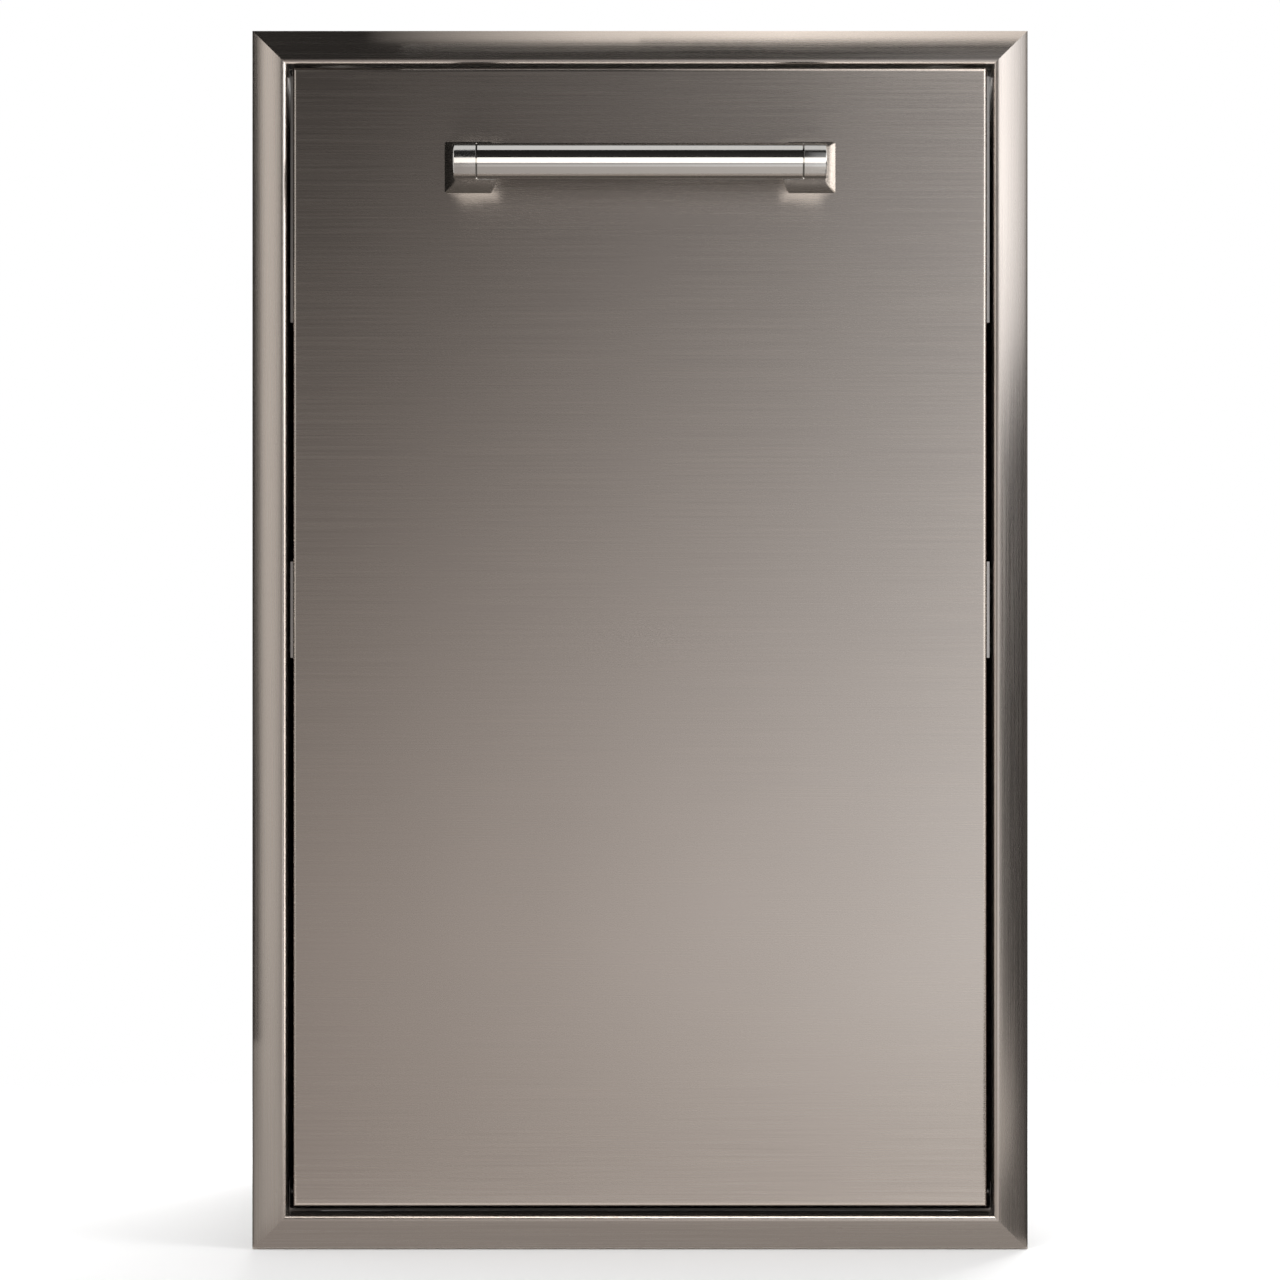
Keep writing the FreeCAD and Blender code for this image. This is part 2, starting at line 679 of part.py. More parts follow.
def release_lever():
    """The slide's disconnect lever: a hub with a tapered arm to each side."""
    axis = lever_axis()
    arms = []
    for reach in (-LEVER_FRONT_ARM, LEVER_REAR_ARM):
        corners = [
            axis + ALONG_Z * LEVER_HUB_RADIUS,
            axis + ALONG_Y * reach + ALONG_Z * LEVER_END_HALF,
            axis + ALONG_Y * reach - ALONG_Z * LEVER_END_HALF,
            axis - ALONG_Z * LEVER_HUB_RADIUS,
            axis + ALONG_Z * LEVER_HUB_RADIUS,
        ]
        arms.append(Part.Face(Part.makePolygon(corners)).extrude(ALONG_X * LEVER_THICKNESS))
    hub = rod(LEVER_HUB_RADIUS, axis, axis + ALONG_X * LEVER_THICKNESS)
    lever = hub.fuse(arms).removeSplitter()
    bore = rod(PIN_RADIUS + PIN_CLEARANCE, axis, axis + ALONG_X * LEVER_THICKNESS)
    lever = lever.cut(bore)
    lever.translate(ALONG_X * RUN_CLEARANCE)
    return lever


def lever_pins():
    """Headed pins riveted into the inner members, one for each lever."""
    axis = lever_axis()
    reach = LEVER_THICKNESS + 2 * RUN_CLEARANCE
    shank = rod(PIN_RADIUS, axis - ALONG_X * SLIDE_WEB, axis + ALONG_X * reach)
    head = rod(PIN_HEAD_RADIUS, axis + ALONG_X * reach, axis + ALONG_X * (reach + PIN_HEAD_HEIGHT))
    pin = shank.fuse(head).removeSplitter()
    return group([pin, mirrored(pin)])


# Door


def door_rivet_places():
    """Rivets from the back pan into the skin's return flanges."""
    x = DOOR_X - DOOR_RIVET_INSET
    low = DOOR_BOTTOM + DOOR_RIVET_INSET
    high = DOOR_TOP - DOOR_RIVET_INSET
    end_count = 2
    columns = end_count + round((high - low) / DOOR_RIVET_PITCH)
    rows = end_count + round(2 * x / DOOR_RIVET_PITCH)
    spots = [(side, z) for side in (-x, x) for z in spread(low, high, columns)]
    spots += [(across, z) for z in (low, high) for across in spread(-x, x, rows)[1:-1]]
    rear = DOOR_REAR + BACK_PAN_SHEET
    return [(point(across, rear, z), ALONG_Y * -1, BACK_PAN_SHEET + DOOR_SHEET) for across, z in spots]


def handle_screw_places():
    """Screws from inside the door into the handle posts."""
    inside = DOOR_FACE + DOOR_SHEET
    return [(point(FOOT_X, inside, HANDLE_Z), ALONG_Y * -1, DOOR_SHEET)]


def front_rounded(shape, radius):
    """The shape with the edges of its front face rounded."""
    front = shape.BoundBox.YMin
    edges = [edge for edge in shape.Edges if edge.BoundBox.YMax < front + radius / 2]
    return shape.makeFillet(radius, edges)


def door_skin():
    """The front panel: a sheet folded back on all four sides, with return flanges."""
    shell = front_rounded(
        block((-DOOR_X, DOOR_X), (DOOR_FACE, DOOR_REAR), (DOOR_BOTTOM, DOOR_TOP)),
        DOOR_BEND_RADIUS,
    )
    inside = DOOR_X - DOOR_SHEET
    hollow = front_rounded(
        block(
            (-inside, inside),
            (DOOR_FACE + DOOR_SHEET, DOOR_REAR - DOOR_SHEET),
            (DOOR_BOTTOM + DOOR_SHEET, DOOR_TOP - DOOR_SHEET),
        ),
        DOOR_BEND_RADIUS - DOOR_SHEET,
    )
    mouth_x = DOOR_X - DOOR_RETURN
    mouth = block(
        (-mouth_x, mouth_x),
        (DOOR_REAR - DOOR_SHEET, DOOR_REAR),
        (DOOR_BOTTOM + DOOR_RETURN, DOOR_TOP - DOOR_RETURN),
    )
    skin = shell.cut([hollow, mouth])
    skin = drilled(skin, both_sides(handle_screw_places()), HANDLE_SCREW_RADIUS)
    return drilled(skin, door_rivet_places() + both_sides(bracket_front_places()), RIVET_RADIUS)


def door_back_pan():
    x = DOOR_X - BACK_PAN_INSET
    sheet = block(
        (-x, x),
        (DOOR_REAR, DOOR_REAR + BACK_PAN_SHEET),
        (DOOR_BOTTOM + BACK_PAN_INSET, DOOR_TOP - BACK_PAN_INSET),
    )
    return drilled(sheet, door_rivet_places(), RIVET_RADIUS)


def door_rivets():
    return group([rivet(place) for place in door_rivet_places()])


# Handle


def section(middle, width, height, y):
    """A rectangle across the post at depth y."""
    corners = []
    for side, rise in ((-1, -1), (1, -1), (1, 1), (-1, 1), (-1, -1)):
        corners.append(point(middle + side * width / 2, y, HANDLE_Z + rise * height / 2))
    return Part.makePolygon(corners)


def handle_post():
    """The right post: a flared foot, a saddle behind the tube and a round head at its end."""
    tip_x = HANDLE_LENGTH / 2 - POST_WIDTH / 2
    tip_height = 2 * TUBE_RADIUS
    waist_x = tip_x + (FOOT_X - tip_x) * WAIST_SHARE
    waist_width = POST_WIDTH + (FOOT_WIDTH - POST_WIDTH) * WAIST_SHARE
    waist_height = tip_height + (FOOT_HEIGHT - tip_height) * WAIST_SHARE
    sections = [
        section(FOOT_X, FOOT_WIDTH, FOOT_HEIGHT, DOOR_FACE),
        section(waist_x, waist_width, waist_height, DOOR_FACE - WAIST_REACH),
        section(tip_x, POST_WIDTH, tip_height, BAR_Y),
    ]
    body = Part.makeLoft(sections, True, False)
    head_start = point(TUBE_HALF, BAR_Y, HANDLE_Z)
    head = rod(TUBE_RADIUS, head_start, head_start + ALONG_X * HEAD_LENGTH)
    saddle = block(
        (TUBE_HALF - POST_WIDTH, TUBE_HALF),
        (BAR_Y - TUBE_RADIUS, BAR_Y + SADDLE_BACK),
        (HANDLE_Z - TUBE_RADIUS - FOOT_HEIGHT, HANDLE_Z + TUBE_RADIUS + FOOT_HEIGHT),
    )
    tube_room = rod(TUBE_RADIUS + SADDLE_CLEARANCE, head_start, head_start - ALONG_X * POST_WIDTH)
    body = body.cut([saddle, tube_room])
    spigot_radius = TUBE_RADIUS - TUBE_WALL - SPIGOT_CLEARANCE
    spigot = rod(spigot_radius, head_start, head_start - ALONG_X * SPIGOT_LENGTH)
    post = body.fuse([head, spigot]).removeSplitter()
    hole_mouth = point(FOOT_X, DOOR_FACE, HANDLE_Z)
    hole_end = hole_mouth - ALONG_Y * (HANDLE_SCREW_DEPTH + HOLE_CLEARANCE)
    return post.cut(rod(HANDLE_SCREW_RADIUS + HOLE_CLEARANCE, hole_mouth, hole_end))


def handle_tube():
    start = point(-TUBE_HALF, BAR_Y, HANDLE_Z)
    end = point(TUBE_HALF, BAR_Y, HANDLE_Z)
    tube = rod(TUBE_RADIUS, start, end)
    rims = [edge for edge in tube.Edges if edge.Closed]
    tube = tube.makeChamfer(TUBE_CHAMFER, rims)
    return tube.cut(rod(TUBE_RADIUS - TUBE_WALL, start, end))


def handle_screws():
    length = DOOR_SHEET + HANDLE_SCREW_DEPTH
    screws = []
    for place in both_sides(handle_screw_places()):
        screws.append(pan_screw(place, HANDLE_SCREW_RADIUS, HANDLE_SCREW_HEAD, HANDLE_SCREW_HEAD_HEIGHT, length))
    return group(screws)


# Brackets between the door and the carriage


def bracket_heights():
    """Low and high edge of the upper and the lower bracket."""
    return (RING_BOTTOM, RING_TOP), (RAIL_BOTTOM, RAIL_TOP)


def bracket_rows(low, high):
    edge = (high - low) / 5
    return [low + edge, high - edge]


def bracket_front_places():
    """Rivets from each bracket into the door skin's side flange."""
    y = DOOR_FACE + (BRACKET_FRONT + DOOR_DEPTH - DOOR_SHEET) / 2
    places = []
    for low, high in bracket_heights():
        for z in bracket_rows(low, high):
            places.append((point(DOOR_X + CARRIAGE_SHEET, y, z), ALONG_X * -1, CARRIAGE_SHEET + DOOR_SHEET))
    return places


def bracket_rear_places():
    """Rivets from each bracket into the carriage: the upper ones also take the ring front's flange."""
    y = BEND_END + BRACKET_LAP / 2
    upper, lower = bracket_heights()
    places = []
    for (low, high), sheets in ((upper, 3), (lower, 2)):
        for z in bracket_rows(low, high):
            places.append((point(RAIL_X + CARRIAGE_SHEET, y, z), ALONG_X * -1, sheets * CARRIAGE_SHEET))
    return places


def bracket(low, high):
    """A strap that laps the door's side flange, steps inwards behind the door and laps the carriage."""
    path = [
        point(DOOR_X, DOOR_FACE + BRACKET_FRONT, low),
        point(DOOR_X, BEND_START, low),
        point(RAIL_X, BEND_END, low),
        point(RAIL_X, BEND_END + BRACKET_LAP, low),
    ]
    strap = folded(path, CARRIAGE_SHEET, point(0, 0, high - low))
    return drilled(strap, bracket_front_places() + bracket_rear_places(), RIVET_RADIUS)


def bracket_rivets():
    places = both_sides(bracket_front_places() + bracket_rear_places())
    return group([rivet(place) for place in places])


# Carriage


def corner_rivet_places():
    """Rivets from the ring's sides into the corner flanges of its rear."""
    y = CARRIAGE_REAR - CORNER_FLANGE * 2 / 3
    edge = RING_HEIGHT / 3
    heights = (RING_BOTTOM + edge / 2, RING_TOP - edge)
    return [(point(RAIL_X, y, z), ALONG_X * -1, 2 * CARRIAGE_SHEET) for z in heights]


def deck_rivet_places():
    """Rivets from the ring's sides into the deck's skirts."""
    count = 3
    z = DECK_TOP - DECK_SKIRT / 2
    inset = BRACKET_LAP * 2
    rows = spread(CARRIAGE_FRONT + inset, CARRIAGE_REAR - inset, count)
    return [(point(RAIL_X, y, z), ALONG_X * -1, 2 * CARRIAGE_SHEET) for y in rows]


def upright_rivet_places():
    """Rivets from each rear upright into the cross rail and the ring's rear."""
    y = CARRIAGE_REAR + CARRIAGE_SHEET
    quarter = RAIL_HEIGHT / 4
    heights = (SLIDE_Z - quarter / 2, SLIDE_Z + quarter / 2, RING_BOTTOM + quarter, RING_BOTTOM + RING_HEIGHT / 2)
    return [(point(UPRIGHT_CENTRE, y, z), ALONG_Y * -1, 2 * CARRIAGE_SHEET) for z in heights]


def carriage_rail():
    """The right slide rail: a channel, its flanges turned in."""
    tip = PLATE_X - RAIL_FLANGE
    low = RAIL_BOTTOM + CARRIAGE_SHEET
    high = RAIL_TOP - CARRIAGE_SHEET
    path = [
        point(tip, CARRIAGE_FRONT, high),
        point(PLATE_X, CARRIAGE_FRONT, high),
        point(PLATE_X, CARRIAGE_FRONT, low),
        point(tip, CARRIAGE_FRONT, low),
    ]
    rail = folded(path, CARRIAGE_SHEET, point(0, CARRIAGE_REAR - CARRIAGE_FRONT, 0))
    rail = drilled(rail, bracket_rear_places(), RIVET_RADIUS)
    return drilled(rail, rail_screw_places(), SCREW_RADIUS)


def ring_side():
    """The ring's right side: a tall plate with its lower edge turned in."""
    low = RING_BOTTOM + CARRIAGE_SHEET
    path = [
        point(PLATE_X, CARRIAGE_FRONT, RING_TOP),
        point(PLATE_X, CARRIAGE_FRONT, low),
        point(PLATE_X - RING_FLANGE, CARRIAGE_FRONT, low),
    ]
    plate = folded(path, CARRIAGE_SHEET, point(0, CARRIAGE_REAR - CARRIAGE_FRONT, 0))
    return drilled(plate, bracket_rear_places() + corner_rivet_places() + deck_rivet_places(), RIVET_RADIUS)


def cross_plate(low, high):
    """A plate across the rear of the carriage, with flanges turned forward along its ends."""
    inside = PLATE_X - CARRIAGE_SHEET
    tip = CARRIAGE_REAR - CORNER_FLANGE
    web = CARRIAGE_REAR - CARRIAGE_SHEET
    path = [
        point(inside, tip, low),
        point(inside, web, low),
        point(-inside, web, low),
        point(-inside, tip, low),
    ]
    plate = folded(path, CARRIAGE_SHEET, point(0, 0, high - low))
    return drilled(plate, both_sides(upright_rivet_places() + corner_rivet_places()), RIVET_RADIUS)


def rear_cross_rail():
    return cross_plate(RAIL_BOTTOM + CARRIAGE_SHEET, RAIL_TOP - CARRIAGE_SHEET)


def ring_rear():
    return cross_plate(RING_BOTTOM + CARRIAGE_SHEET, RING_TOP)


def ring_front():
    """The plate across the front of the ring, with flanges turned back along its ends."""
    inside = PLATE_X - CARRIAGE_SHEET
    low = RING_BOTTOM + CARRIAGE_SHEET
    tip = CARRIAGE_FRONT + CORNER_FLANGE
    web = CARRIAGE_FRONT + CARRIAGE_SHEET
    path = [
        point(-inside, tip, low),
        point(-inside, web, low),
        point(inside, web, low),
        point(inside, tip, low),
    ]
    plate = folded(path, CARRIAGE_SHEET, point(0, 0, RING_TOP - low))
    return drilled(plate, both_sides(bracket_rear_places()), RIVET_RADIUS)


def rear_upright():
    """The right upright that carries the ring on the cross rail: a channel open to the rear."""
    half = UPRIGHT_WIDTH / 2 - CARRIAGE_SHEET
    low = RAIL_BOTTOM + CARRIAGE_SHEET
    high = RING_TOP - UPRIGHT_TOP_DROP
    web = CARRIAGE_REAR + CARRIAGE_SHEET
    tip = CARRIAGE_REAR + UPRIGHT_FLANGE
    path = [
        point(UPRIGHT_CENTRE - half, tip, low),
        point(UPRIGHT_CENTRE - half, web, low),
        point(UPRIGHT_CENTRE + half, web, low),
        point(UPRIGHT_CENTRE + half, tip, low),
    ]
    upright = folded(path, CARRIAGE_SHEET, point(0, 0, high - low))
    return drilled(upright, upright_rivet_places(), RIVET_RADIUS)


def bin_deck():
    """The deck that the bin's rim rests on: a tray upside down, with a flanged opening."""
    rise = (DECK_TOP - CARRIAGE_SHEET, DECK_TOP)
    fall = (DECK_TOP - DECK_SKIRT, DECK_TOP)
    front = CARRIAGE_FRONT + CARRIAGE_SHEET
    rear = CARRIAGE_REAR - CARRIAGE_SHEET
    inside = PLATE_X - CARRIAGE_SHEET
    notch = CORNER_FLANGE - CARRIAGE_SHEET + DECK_NOTCH
    plate = block((-inside, inside), (front, rear), rise)
    skirt = block((inside, PLATE_X), (front + notch, rear - notch), fall)
    deck = plate.fuse([skirt, mirrored(skirt)])
    mouth_x = BIN_HALF_X + DECK_BIN_GAP
    mouth_y = BIN_HALF_Y + DECK_BIN_GAP
    radius = BIN_CORNER + DECK_BIN_GAP
    low = (DECK_TOP - DECK_COLLAR, DECK_TOP)
    collar = rounded_prism(mouth_x + CARRIAGE_SHEET, mouth_y + CARRIAGE_SHEET, radius + CARRIAGE_SHEET, low)
    deck = deck.fuse(collar).removeSplitter()
    deck = deck.cut(rounded_prism(mouth_x, mouth_y, radius, low))
    return drilled(deck, both_sides(deck_rivet_places()), RIVET_RADIUS)


def carriage_rivets():
    places = corner_rivet_places() + deck_rivet_places() + upright_rivet_places()
    return group([rivet(place) for place in both_sides(places)])


# Waste bin


def bin_shell(wall, floor):
    """The tapered tub, drawn in by the wall thickness and up by the floor thickness."""
    low = rounded_outline(
        BIN_HALF_X - BIN_DRAFT - wall, BIN_HALF_Y - BIN_DRAFT - wall, BIN_FLOOR_CORNER - wall, BIN_BOTTOM + floor
    )
    high = rounded_outline(BIN_HALF_X - wall, BIN_HALF_Y - wall, BIN_CORNER - wall, BIN_TOP)
    tub = Part.makeLoft([low, high], True, True)
    edges = [edge for edge in tub.Edges if edge.BoundBox.ZMax < BIN_BOTTOM + floor + BIN_WALL]
    return tub.makeFillet(BIN_FLOOR_RADIUS - wall, edges)


def waste_bin():
    """The tub with a rim turned out and down, which hangs on the deck."""
    rim = rounded_prism(
        BIN_HALF_X + RIM_WIDTH, BIN_HALF_Y + RIM_WIDTH, BIN_CORNER + RIM_WIDTH, (BIN_TOP - RIM_LIP, BIN_TOP)
    )
    lip = RIM_WIDTH - BIN_WALL
    under = rounded_prism(
        BIN_HALF_X + lip, BIN_HALF_Y + lip, BIN_CORNER + lip, (BIN_TOP - RIM_LIP, BIN_TOP - RIM_SHEET)
    )
    return rim.cut(under).fuse(bin_shell(0.0, 0.0)).removeSplitter().cut(bin_shell(BIN_WALL, BIN_FLOOR))


# All nodes


def paired(name, shape):
    return {name + "_right": shape, name + "_left": mirrored(shape)}


def all_nodes():
    upper, lower = bracket_heights()
    nodes = {}
    nodes.update(frame_rails())
    nodes.update(paired("side_panel", side_panel()))
    nodes["base_pan"] = base_pan()
    nodes["back_panel"] = back_panel()
    nodes.update(braces())
    nodes["housing_rivets"] = housing_rivets()
    nodes.update(paired("slide_outer", slide_outer()))
    nodes.update(paired("slide_middle", slide_middle()))
    nodes.update(paired("slide_inner", slide_inner()))
    nodes.update(paired("outer_cage", ball_cage(OUTER_CAGE_WEB, OUTER_ROW, OUTER_ROW_Z)))
    nodes.update(paired("inner_cage", ball_cage(INNER_CAGE_WEB, INNER_ROW, INNER_ROW_Z)))
    nodes["outer_balls"] = balls(OUTER_ROW, OUTER_ROW_Z)
    nodes["inner_balls"] = balls(INNER_ROW, INNER_ROW_Z)
    nodes.update(paired("slide_bumper", slide_bumper()))
    nodes["slide_screws"] = slide_screws()
    nodes["slide_nuts"] = slide_nuts()
    nodes["rail_screws"] = rail_screws()
    nodes["rail_nuts"] = rail_nuts()
    nodes.update(paired("release_lever", release_lever()))
    nodes["lever_pins"] = lever_pins()
    nodes["door_skin"] = door_skin()
    nodes["door_back_pan"] = door_back_pan()
    nodes["door_rivets"] = door_rivets()
    nodes["handle_tube"] = handle_tube()
    nodes.update(paired("handle_post", handle_post()))
    nodes["handle_screws"] = handle_screws()
    nodes.update(paired("upper_bracket", bracket(*upper)))
    nodes.update(paired("lower_bracket", bracket(*lower)))
    nodes["bracket_rivets"] = bracket_rivets()
    nodes.update(paired("rail", carriage_rail()))
    nodes["rear_cross_rail"] = rear_cross_rail()
    nodes.update(paired("rear_upright", rear_upright()))
    nodes.update(paired("ring_side", ring_side()))
    nodes["ring_front"] = ring_front()
    nodes["ring_rear"] = ring_rear()
    nodes["bin_deck"] = bin_deck()
    nodes["carriage_rivets"] = carriage_rivets()
    nodes["waste_bin"] = waste_bin()
    return nodes


os.makedirs("parts", exist_ok=True)
for name, shape in all_nodes().items():
    shape.exportStep(os.path.join("parts", name + ".step"))
    print(name, len(shape.Solids), shape.isValid(), round(shape.Volume))
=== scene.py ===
# %% [markdown]
# # A pull-out trash drawer in stainless steel
# The drawer was drawn as solids first, so every piece already has its size and its place. This lesson
# dresses those solids: it gives each finish its grain and gloss, and makes again the pieces whose rounded
# edges catch the light. The first step loads the solids. They are measured here and never moved.

import json
import math

import bmesh
import bpy
from mathutils import Matrix, Vector


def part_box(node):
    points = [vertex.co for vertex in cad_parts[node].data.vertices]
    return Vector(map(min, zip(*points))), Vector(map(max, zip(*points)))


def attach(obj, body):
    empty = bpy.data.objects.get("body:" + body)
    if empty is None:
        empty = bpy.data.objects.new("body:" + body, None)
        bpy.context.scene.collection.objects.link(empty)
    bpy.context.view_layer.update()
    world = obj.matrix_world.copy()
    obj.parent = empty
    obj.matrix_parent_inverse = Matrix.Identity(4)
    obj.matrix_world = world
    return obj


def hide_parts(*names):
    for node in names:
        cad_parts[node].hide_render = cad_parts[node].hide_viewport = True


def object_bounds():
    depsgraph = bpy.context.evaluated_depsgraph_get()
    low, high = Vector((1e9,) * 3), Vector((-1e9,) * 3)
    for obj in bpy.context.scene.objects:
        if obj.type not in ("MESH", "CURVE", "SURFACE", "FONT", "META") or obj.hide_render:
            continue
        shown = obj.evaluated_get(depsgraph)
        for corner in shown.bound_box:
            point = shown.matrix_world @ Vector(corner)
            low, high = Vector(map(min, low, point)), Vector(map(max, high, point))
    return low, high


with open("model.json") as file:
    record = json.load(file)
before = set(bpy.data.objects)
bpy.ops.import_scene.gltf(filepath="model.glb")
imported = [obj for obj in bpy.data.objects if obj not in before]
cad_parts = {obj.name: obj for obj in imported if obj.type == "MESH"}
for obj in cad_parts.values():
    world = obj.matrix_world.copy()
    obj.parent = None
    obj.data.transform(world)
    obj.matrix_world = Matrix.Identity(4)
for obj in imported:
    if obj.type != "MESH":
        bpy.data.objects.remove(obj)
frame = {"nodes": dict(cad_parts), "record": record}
CAD_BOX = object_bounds()
nodes = frame["nodes"]
scene = bpy.context.scene
scene.view_settings.view_transform = "Standard"
MM = 0.001

# %% [markdown]
# The picture is taken straight on, from far enough away that the upright edges stay parallel. A long lens
# does that: its focal length follows from the distance and from how wide a field the picture shows.

# %% Camera
EYE_DISTANCE = 3.2
FIELD_WIDTH = 0.694
SENSOR_WIDTH = 36.0
lens = bpy.data.cameras.new("camera")
lens.sensor_width = SENSOR_WIDTH
lens.lens = SENSOR_WIDTH * EYE_DISTANCE / FIELD_WIDTH
camera = bpy.data.objects.new("camera", lens)
camera.location = (0, -EYE_DISTANCE, 0)
camera.rotation_euler = (math.radians(90), 0, 0)
scene.collection.objects.link(camera)
scene.camera = camera
print("lens", round(lens.lens), "mm")

# %% [markdown]
# Node trees are easier to read when one helper adds a node, fills in its inputs and links what is a
# socket. Everything below, materials and geometry alike, is built with it. The short helpers after it
# stand for the nodes that are needed most: arithmetic, a blend of two numbers, and a soft step from one
# number to another.

# %% Helpers for node trees


def add_node(tree, kind, settings=None, **inputs):
    """Adds a node and fills its inputs, by name or as n0, n1 and so on, with values or sockets."""
    node = tree.nodes.new(kind)
    for option, value in (settings or {}).items():
        setattr(node, option, value)
    for label, value in inputs.items():
        numbered = label[0] == "n" and label[1:].isdigit()
        socket = node.inputs[int(label[1:]) if numbered else label.replace("_", " ")]
        if isinstance(value, bpy.types.NodeSocket):
            tree.links.new(value, socket)
        else:
            socket.default_value = value
    return node


def math_node(tree, operation, first, second=0.0):
    return add_node(tree, "ShaderNodeMath", {"operation": operation}, n0=first, n1=second).outputs[0]


def blended(tree, share, first, second):
    return add_node(tree, "ShaderNodeMix", n0=share, n2=first, n3=second).outputs[0]


def eased(tree, value, band, levels=(0.0, 1.0)):
    """Moves softly from the first level to the second while the value crosses the band."""
    (start, end), (first, second) = band, levels
    soft = {"interpolation_type": "SMOOTHSTEP"}
    ease = add_node(tree, "ShaderNodeMapRange", soft, n0=value, n1=start, n2=end, n3=first, n4=second)
    return ease.outputs[0]


print("node helpers ready")


# %% [markdown]
# A steel front shows its surroundings more than its own colour, so the studio matters as much as the
# finish. The backdrop is a white world. Metal sees it too, white at the horizon and greyer overhead and
# below, while plain surfaces get an even, softer share of it.

# %% White studio
DIFFUSE_SKY = 0.55
HORIZON = 1.0
ZENITH = 0.75
NADIR = 0.5
BAND_ABOVE = (0.1, 0.75)
BAND_BELOW = (-0.6, 0.0)


def white_studio():
    world = bpy.data.worlds.new("white_studio")
    world.use_nodes = True
    tree = world.node_tree
    tree.nodes.clear()
    path = add_node(tree, "ShaderNodeLightPath").outputs
    direction = add_node(tree, "ShaderNodeTexCoord").outputs["Generated"]
    height = add_node(tree, "ShaderNodeSeparateXYZ", n0=direction).outputs["Z"]
    above = eased(tree, height, BAND_ABOVE, (HORIZON, ZENITH))
    below = eased(tree, height, BAND_BELOW, (NADIR, HORIZON))
    mirrored_sky = math_node(tree, "MULTIPLY", above, below)
    seen = math_node(tree, "MAXIMUM", path["Is Camera Ray"], path["Is Transmission Ray"])
    soft = blended(tree, path["Is Glossy Ray"], DIFFUSE_SKY, mirrored_sky)
    level = blended(tree, seen, soft, HORIZON)
    sky = add_node(tree, "ShaderNodeBackground", Color=(1, 1, 1, 1), Strength=level)
    add_node(tree, "ShaderNodeOutputWorld", Surface=sky.outputs[0])
    scene.world = world


white_studio()
print("world ready")

# %% [markdown]
# The floor is a pale sheet that fades into the white with distance, so that only the soft shadow under
# the frame shows where it lies.

# %% Floor
FLOOR_SIZE = 8.0
FLOOR_FADE = (0.5, 1.3)
FLOOR_COLOUR = (0.95, 0.95, 0.95, 1)


def plane_object(name, corners, material):
    """A single flat face through four corners, which belongs to the studio and not to the drawer."""
    mesh = bpy.data.meshes.new(name)
    mesh.from_pydata(corners, [], [tuple(range(len(corners)))])
    mesh.materials.append(material)
    card = bpy.data.objects.new(name, mesh)
    scene.collection.objects.link(card)
    return card


def empty_finish(name):
    finish = bpy.data.materials.new(name)
    finish.use_nodes = True
    finish.node_tree.nodes.clear()
    return finish, finish.node_tree


def floor_finish():
    finish, tree = empty_finish("studio_floor")
    place = add_node(tree, "ShaderNodeTexCoord").outputs["Object"]
    reach = add_node(tree, "ShaderNodeVectorMath", {"operation": "LENGTH"}, n0=place).outputs["Value"]
    fade = eased(tree, reach, FLOOR_FADE)
    paint = add_node(tree, "ShaderNodeBsdfDiffuse", Color=FLOOR_COLOUR).outputs[0]
    clear = add_node(tree, "ShaderNodeBsdfTransparent").outputs[0]
    blend = add_node(tree, "ShaderNodeMixShader", n0=fade, n1=paint, n2=clear).outputs[0]
    add_node(tree, "ShaderNodeOutputMaterial", Surface=blend)
    return finish


def lay_floor():
    level = CAD_BOX[0].z
    half = FLOOR_SIZE / 2
    corners = [(-half, -half, level), (half, -half, level), (half, half, level), (-half, half, level)]
    plane_object("studio_floor", corners, floor_finish())


lay_floor()
print("floor at", round(CAD_BOX[0].z, 3))

# %% [markdown]
# Photographers shape the reflections in steel with cards that the camera can't see. A card here is a flat
# sheet that glows by a given amount and shows only in glossy reflections. Its four corners can glow
# differently, and its two ends can differ in warmth. A dark card is called a flag: it keeps the white
# studio out of the steel. A card for named pieces is clear to all others, and a deep card shows only in a
# reflection of a reflection, such as the part of the door that the handle mirrors.

# %% A reflection card
WARM = (1.0, 0.92, 0.88)
SOFT = (1.0, 0.965, 0.93)
COOL = (1.0, 1.015, 1.045)
WHOLE = (0.0, 1.0)
PAST_ONE_BOUNCE = 1.5


def card_finish(name, glow, tints, clear, deep):
    """Glow blends between the card's corners: low left, low right, high left and high right."""
    low_left, low_right, high_left, high_right = glow
    left_tint, right_tint = [(*tint, 1) for tint in tints]
    finish, tree = empty_finish(name)
    place = add_node(tree, "ShaderNodeTexCoord").outputs["UV"]
    spot = add_node(tree, "ShaderNodeSeparateXYZ", n0=place).outputs
    rise = eased(tree, spot["Y"], WHOLE)
    left = blended(tree, rise, low_left, high_left)
    right = blended(tree, rise, low_right, high_right)
    level = blended(tree, spot["X"], left, right)
    tint = add_node(tree, "ShaderNodeMix", {"data_type": "RGBA"}, n0=spot["X"], n6=left_tint, n7=right_tint)
    light = add_node(tree, "ShaderNodeEmission", Color=tint.outputs[2], Strength=level).outputs[0]
    through = add_node(tree, "ShaderNodeBsdfTransparent").outputs[0]
    if clear:
        light = add_node(tree, "ShaderNodeAddShader", n0=light, n1=through).outputs[0]
    if deep:
        bounces = add_node(tree, "ShaderNodeLightPath").outputs["Ray Depth"]
        twice = math_node(tree, "GREATER_THAN", bounces, PAST_ONE_BOUNCE)
        light = add_node(tree, "ShaderNodeMixShader", n0=twice, n1=through, n2=light).outputs[0]
    add_node(tree, "ShaderNodeOutputMaterial", Surface=light)
    return finish


